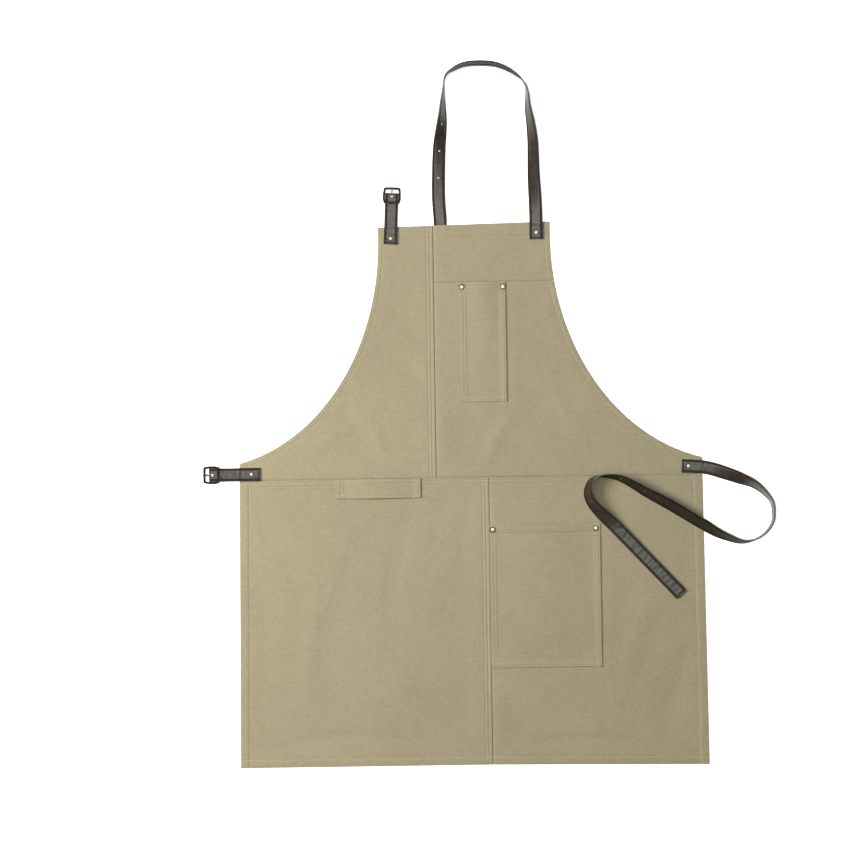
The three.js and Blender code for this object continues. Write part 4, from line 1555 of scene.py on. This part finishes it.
@dataclass
class BuckleTab:
    """A strip of leather folded round a buckle's bar, with a slot for the prong."""

    name: str
    place: Matrix
    overhang: float
    finishes: Finishes
    length: float = 75.0
    leather: float = 0.95
    inner_radius: float = 1.3
    closed_half: float = 0.15
    step: float = 1.6
    slot_width: float = 3.6
    slot_reach: float = 4.5
    slot_round: float = 1.2
    parting: float = 6.75
    wrap: float = 125.0
    blur: int = 4
    unsewn: float = 9.0
    cross_row: float = 1.5

    def __post_init__(self) -> None:
        """Works out the folded strip's inner line, from its lower sewn end round to the upper one."""
        arc = np.radians(np.linspace(-self.wrap, self.wrap, 41))
        turn = np.column_stack([np.cos(arc), np.sin(arc)]) * self.inner_radius
        lower = np.array([(x, -self.closed_half) for x in np.linspace(-self.length, -self.parting, 40)])
        line = np.vstack([lower, turn, lower[::-1] * (1, -1)])
        travel = travelled(line)
        self.travel = np.linspace(0, travel[-1], 900)
        self.line = sampled(line, travel, self.travel)
        along = np.gradient(self.line, self.travel, axis=0)
        normal = blurred(np.column_stack([along[:, 1], -along[:, 0]]), self.blur)
        self.normal = normal / np.linalg.norm(normal, axis=1)[:, None]

    def lay(self, flat: Array) -> Array:
        """Folds points of the straight strip round the bar and puts them in place."""
        line, normal = (sampled(table, self.travel, flat[:, 1]) for table in (self.line, self.normal))
        folded = line + normal * flat[:, 2:]
        local = np.column_stack([folded[:, 0], flat[:, 0] - STRAP_WIDTH / 2, folded[:, 1]])
        return local @ np.array(self.place.to_3x3()).T + np.array(self.place.translation)

    def build(self) -> None:
        """Makes and dresses the tab and its thread."""
        whole = float(self.travel[-1])
        left = ((0.0, 0.0), (0.0, whole))
        right = tuple((STRAP_WIDTH, y) for _, y in left)
        edges = dict.fromkeys(SIDES, cut_edge(self.leather))
        ply = LeatherPly(f"{self.name}_tab", left, right, edges, top=self.leather, step=self.step)
        piece = ply.build()
        reach = whole / 2 - self.travel[np.argmax(self.line[:, 0] > -self.slot_reach)]
        cutter = cuboid("slot_punch", (self.slot_width, 2 * reach, 8), (STRAP_WIDTH / 2, whole / 2, 0))
        bevel(cutter, self.slot_round, 3)
        finish_leather(piece, [cutter], self.lay)
        dress(piece, Slot.FACE, self.finishes.face, self.finishes.edge, replaced=(f"{self.name}_buckle_tab",))
        upper = [row[row[:, 1] > whole / 2 + self.unsewn] for row in ply.stitch_rows]
        upper += cross_rows(whole - (self.length - self.overhang) + self.cross_row, self.leather)
        rows = [row for row in upper if len(row) > 2]
        stitch_leather(f"{self.name}_tab_stitches", rows, 0.12, self.lay, self.finishes.dark_thread)


# ---------------------------------------------------------------- metal


@dataclass
class Buckle:
    """A centre-bar buckle's frame, made about its bar with +X towards the front."""

    name: str
    place: Matrix
    finishes: Finishes
    front: float = 10.7
    back: float = 14.9
    half_width: float = 13.5
    ring: float = 3.3
    thickness: float = 2.2
    tilt: float = 12.0
    bar_radius: float = 1.0
    corner: float = 3.2
    widest: float = -3.0
    shoulder: float = 4.5
    end_zone: float = 3.6
    front_narrow: float = 0.93
    back_narrow: float = 0.92
    rounding: float = 0.62

    def _ring(self) -> Piece:
        """Models the flat ring round the bar, widest beside it and narrower at both ends."""
        size = (self.front + self.back, 2 * self.half_width, self.thickness)
        ring = cuboid("ring", size, ((self.front - self.back) / 2, 0, 0))
        with editing(ring, edges=lambda a, b: abs(a.z - b.z) > MM):
            bpy.ops.mesh.bevel(offset=self.corner * MM, segments=5, affect="EDGES")
        middle = self.widest * MM
        with editing(ring, faces=lambda face: True):
            bpy.ops.mesh.bisect(plane_co=(middle, 0, 0), plane_no=(1, 0, 0))
        with editing(ring, edges=lambda a, b: max(abs(a.x - middle), abs(b.x - middle)) < 1e-6):
            bpy.ops.mesh.bevel(offset=self.shoulder * MM, segments=4, affect="EDGES")
        for low, high, narrow in (
            (self.front - self.end_zone, self.front + 1, self.front_narrow),
            (-self.back - 1, self.end_zone - self.back, self.back_narrow),
        ):
            with editing(ring, edges=lambda a, b: all(low * MM < end.x < high * MM for end in (a, b))):
                bpy.ops.transform.resize(value=(1, narrow, 1))
        with editing(ring, faces=lambda face: abs(face.normal.z) > 0.9):
            bpy.ops.mesh.inset(thickness=self.ring * MM)
            bpy.ops.mesh.bridge_edge_loops()
        bevel(ring, self.rounding, 3, 40)
        ring.data.transform(Matrix.Rotation(math.radians(self.tilt), 4, "Y"))
        return ring

    def build(self) -> None:
        """Makes and dresses the frame."""
        ring = self._ring()
        bar = cylinder("bar", self.bar_radius, 2 * self.half_width - self.ring, 24, turn=(QUARTER_TURN, 0, 0))
        bevel(bar, 0.2, 2)
        piece = joined([ring, bar], f"{self.name}_buckle")
        apply_place(piece, Matrix.Translation(self.place.translation * MM) @ self.place.to_3x3().to_4x4())
        smooth(piece, METAL_ANGLE)
        replaced = (f"{self.name}_buckle_frame",)
        dress(piece, Slot.BRASS, self.finishes.buckle, body=f"{self.name}_buckle", replaced=replaced)


@dataclass
class Rivets:
    """The domed rivet caps, one copy over each of the frame's caps, with painted shade on the outer rim of each dome.
    """

    finishes: Finishes
    rim: float = 0.55
    height: float = 1.5
    rounding: float = 0.12
    shaded_rim_from: float = 0.86
    steps: Plan = ((0.09, -0.14), (0.05, 0.3), (0.13, 0.3), (0.2, 0.28), (0.24, 0.17), (0.16, 0.05))

    def _cap(self) -> Piece:
        """Models one cap of radius 1 mm and true height, with a rolled rim round its dome."""
        cap = cylinder("cap", 1.0, self.rim, 32, (0, 0, self.rim / 2))
        with editing(cap, faces=lambda face: face.normal.z > 0.9):
            for inset, lift in self.steps:
                bpy.ops.mesh.inset(thickness=inset * MM)
                bpy.ops.transform.translate(value=(0, 0, lift * MM))
        return cap

    def build(self, names: list[str]) -> None:
        """Copies the cap onto each rivet.

        Args:
            names: The frame's nodes of the caps.
        """
        cap = self._cap()
        for node in names:
            low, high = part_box(node)
            radius = (high.x - low.x) / 2 / MM
            middle = Vector(((low.x + high.x) / 2, (low.y + high.y) / 2, high.z - self.height * MM))
            place = Matrix.Translation(middle) @ Matrix.Diagonal((radius, radius, 1, 1))
            piece = copied(cap, node.replace("_cap", "_dome"), place)
            bevel(piece, self.rounding, 2, 50)
            smooth(piece, METAL_ANGLE)
            dress(piece, Slot.BRASS, self.finishes.rivet, self.finishes.buckle, replaced=(node,))
            # Painted shade: the dome's outer rim takes the buckle's dark brass, a dark ring where the rim turns away
            # from the light.
            for face in piece.data.polygons:
                outward = (face.center - middle).to_2d().length
                face.material_index = int(outward > self.shaded_rim_from * radius * MM)
        bpy.data.objects.remove(cap)


# ---------------------------------------------------------------- studio


@dataclass(frozen=True)
class Softbox:
    """A square studio light that points at a place on the floor, and may show in shiny surfaces."""

    name: str
    place: Triple
    aim: Triple
    size: float
    power: float
    mirrored: bool = True

    def build(self) -> None:
        """Adds the light."""
        deselect()
        bpy.ops.object.light_add(type="AREA", location=self.place)
        light = bpy.context.object
        light.name = self.name
        light.data.shape = "SQUARE"
        light.data.size = self.size
        light.data.energy = self.power
        light.visible_glossy = self.mirrored
        aim = Vector(self.aim) - Vector(self.place)
        light.rotation_euler = aim.to_track_quat("-Z", "Y").to_euler()


@dataclass
class Studio:
    """A white table under soft light, seen from straight above."""

    height: float = 3.01
    over: tuple[float, float] = (-0.0678, 0.0799)
    turn: float = -0.85
    lens: float = 85.0
    floor_level: float = -0.0003
    floor_size: float = 8.0
    whites: tuple[Colour, Colour] = ((0.93, 0.93, 0.93), (0.95, 0.95, 0.95))
    ambient: float = 0.17
    glow: float = 0.65
    lights: tuple[Softbox, ...] = (
        Softbox("key_light", (-1.72, 0.42, 1.42), (0.0, 0.0, 0.0), 1.0, 84.0, mirrored=False),
        Softbox("overhead_light", (0.0, 0.35, 3.5), (0.0, 0.3, 0.0), 1.9, 62.0),
    )

    def build(self) -> None:
        """Makes the table, the lights, the world and the camera."""
        deselect()
        bpy.ops.mesh.primitive_plane_add(size=self.floor_size, location=(0, 0, self.floor_level))
        floor = added("floor")
        material, graph = surface("white_table")
        mottle = graph.noise(graph.add("TexCoord").outputs["Object"], 3.0)
        colour = graph.ramp(mottle, tuple(zip((0.3, 0.7), self.whites)))
        glow = {"Emission Color": colour, "Emission Strength": self.glow}
        shade(graph, {"Base Color": colour, "Roughness": 0.9, "Specular IOR Level": 0.1, **glow})
        floor.data.materials.append(material)
        for light in self.lights:
            light.build()
        world = bpy.data.worlds.new("studio")
        bpy.context.scene.world = world
        world.use_nodes = True
        backdrop = world.node_tree.nodes["Background"].inputs
        backdrop[0].default_value, backdrop[1].default_value = (1, 1, 1, 1), self.ambient
        deselect()
        bpy.ops.object.camera_add(location=(*self.over, self.height), rotation=(0, 0, math.radians(self.turn)))
        camera = bpy.context.object
        camera.data.lens = self.lens
        camera.data.sensor_width = 36.0
        bpy.context.scene.camera = camera
        view = bpy.context.scene.view_settings
        view.view_transform = "Standard"
        view.look = "None"


# ---------------------------------------------------------------- assembly

WAIST_KNOTS = (
    (-32, 3, 0, 3), (-15, 2.2, 0, 3), (4, 0.2, 0, 3), (33, -8, 17, 1),
    (55, -14.4, 33, 0), (74, -19.6, 56, 0), (91.5, -30.8, 73, 0), (102.3, -42.8, 83, 0),
    (105.3, -56.5, 87, 0), (104, -73.3, 90, 0), (92, -90.8, 93, 0), (74.1, -101.4, 97, 0),
    (56.5, -105.3, 107, 0), (31.4, -99.5, 124, 0), (15.1, -93.3, 133, 3), (-4.6, -82.2, 142, 3),
    (-57.7, -49.8, 143, 3), (-84.4, -34.5, 137, 3), (-126.7, -8.4, 118, 3), (-149, -2.8, 103, 3),
    (-159.5, -1.6, 90, 3), (-170.1, -7.7, 72, 3), (-176.9, -23.8, 55, 3), (-173.6, -39.9, 47, 3),
    (-161.1, -58.9, 32, 3), (-135.2, -87, 0, 3), (-41, -187, 0, 3),
)  # fmt: skip
NECK_KNOTS = (
    (0, -10, 0, 0), (0, 10, 0, 0), (-0.015, 40, 4, 0), (-0.006, 109, 14, 0),
    (0.009, 154, 46, 0), (-0.006, 181, 68, 0), (-0.015, 202, 84, 0), (-0.016, 217, 93, 0),
    (0.006, 226, 101, 0), (0.079, 235, 112, 0), (0.226, 244, 119, 0), (0.469, 246, 122, 0),
    (0.638, 243, 120, 0), (0.795, 234, 116, 0), (0.892, 224.5, 109, 0), (0.951, 215.5, 100, 0),
    (0.986, 205.5, 90, 0), (0.991, 193, 80, 0), (0.979, 173.5, 67, 0), (0.992, 152.5, 57, 0),
    (1.001, 125, 43, 0), (0.995, 71, 29, 0), (0.999, 30, 10, 1.2), (1, 8, 0, 3), (1, -24, 0, 3),
)  # fmt: skip
TAIL_EDGE_X = -30.7
SEWN_EDGE_X = 92.9
CALM_STEP = 25


class BarPlace(NamedTuple):
    """A buckle's bar: its middle, its turn in degrees, and how far its tab runs past the cloth."""

    x: float
    y: float
    turn: float
    overhang: float

    def matrix(self) -> Matrix:
        """The place and the turn of what is made about the bar."""
        return Matrix.Translation((self.x, self.y, BAR_LEVEL)) @ Matrix.Rotation(math.radians(self.turn), 4, "Z")


BARS = {"neck": BarPlace(-112.3, 426.065, 87.3, 48.6), "waist": BarPlace(-390.6, 9.5, 180.0, 43.6)}


def main() -> None:
    """Builds the whole apron and its studio."""
    Studio().build()
    finishes = make_finishes()
    waist = StrapLie(tuple((WAIST_HALF + x, y, roll, level) for x, y, roll, level in WAIST_KNOTS))
    reach = SEWN_EDGE_X - TAIL_EDGE_X
    neck = StrapLie(
        tuple((TAIL_EDGE_X + share * reach, BIB_HEIGHT + y, roll, level) for share, y, roll, level in NECK_KNOTS)
    )
    log.info("waist strap %.1f mm, neck strap %.1f mm", waist.length, neck.length)

    caps = sorted(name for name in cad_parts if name.endswith("_cap"))
    places = [sum(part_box(name), Vector()) / 2 / MM for name in caps]
    pockets = Pockets(finishes)
    calm = [*pockets.outlines(), waist.edge[::CALM_STEP]]
    ApronBody(finishes).build(calm, [(place.x, place.y) for place in places])
    pockets.build()

    LeatherStrap("neck_strap", neck, finishes, holes_from_start=True, cross_row=22.0).build()
    LeatherStrap("waist_strap", waist, finishes, holes_from_start=False, cross_row=30.5).build()
    for name, bar in BARS.items():
        BuckleTab(name, bar.matrix(), bar.overhang, finishes).build()
        Buckle(name, bar.matrix(), finishes).build()
    Rivets(finishes).build(caps)
    for name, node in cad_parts.items():
        if name.endswith(("_back", "_prong")):
            node.data.materials.clear()
            node.data.materials.append(finishes.buckle)


if __name__ == "__main__":
    main()
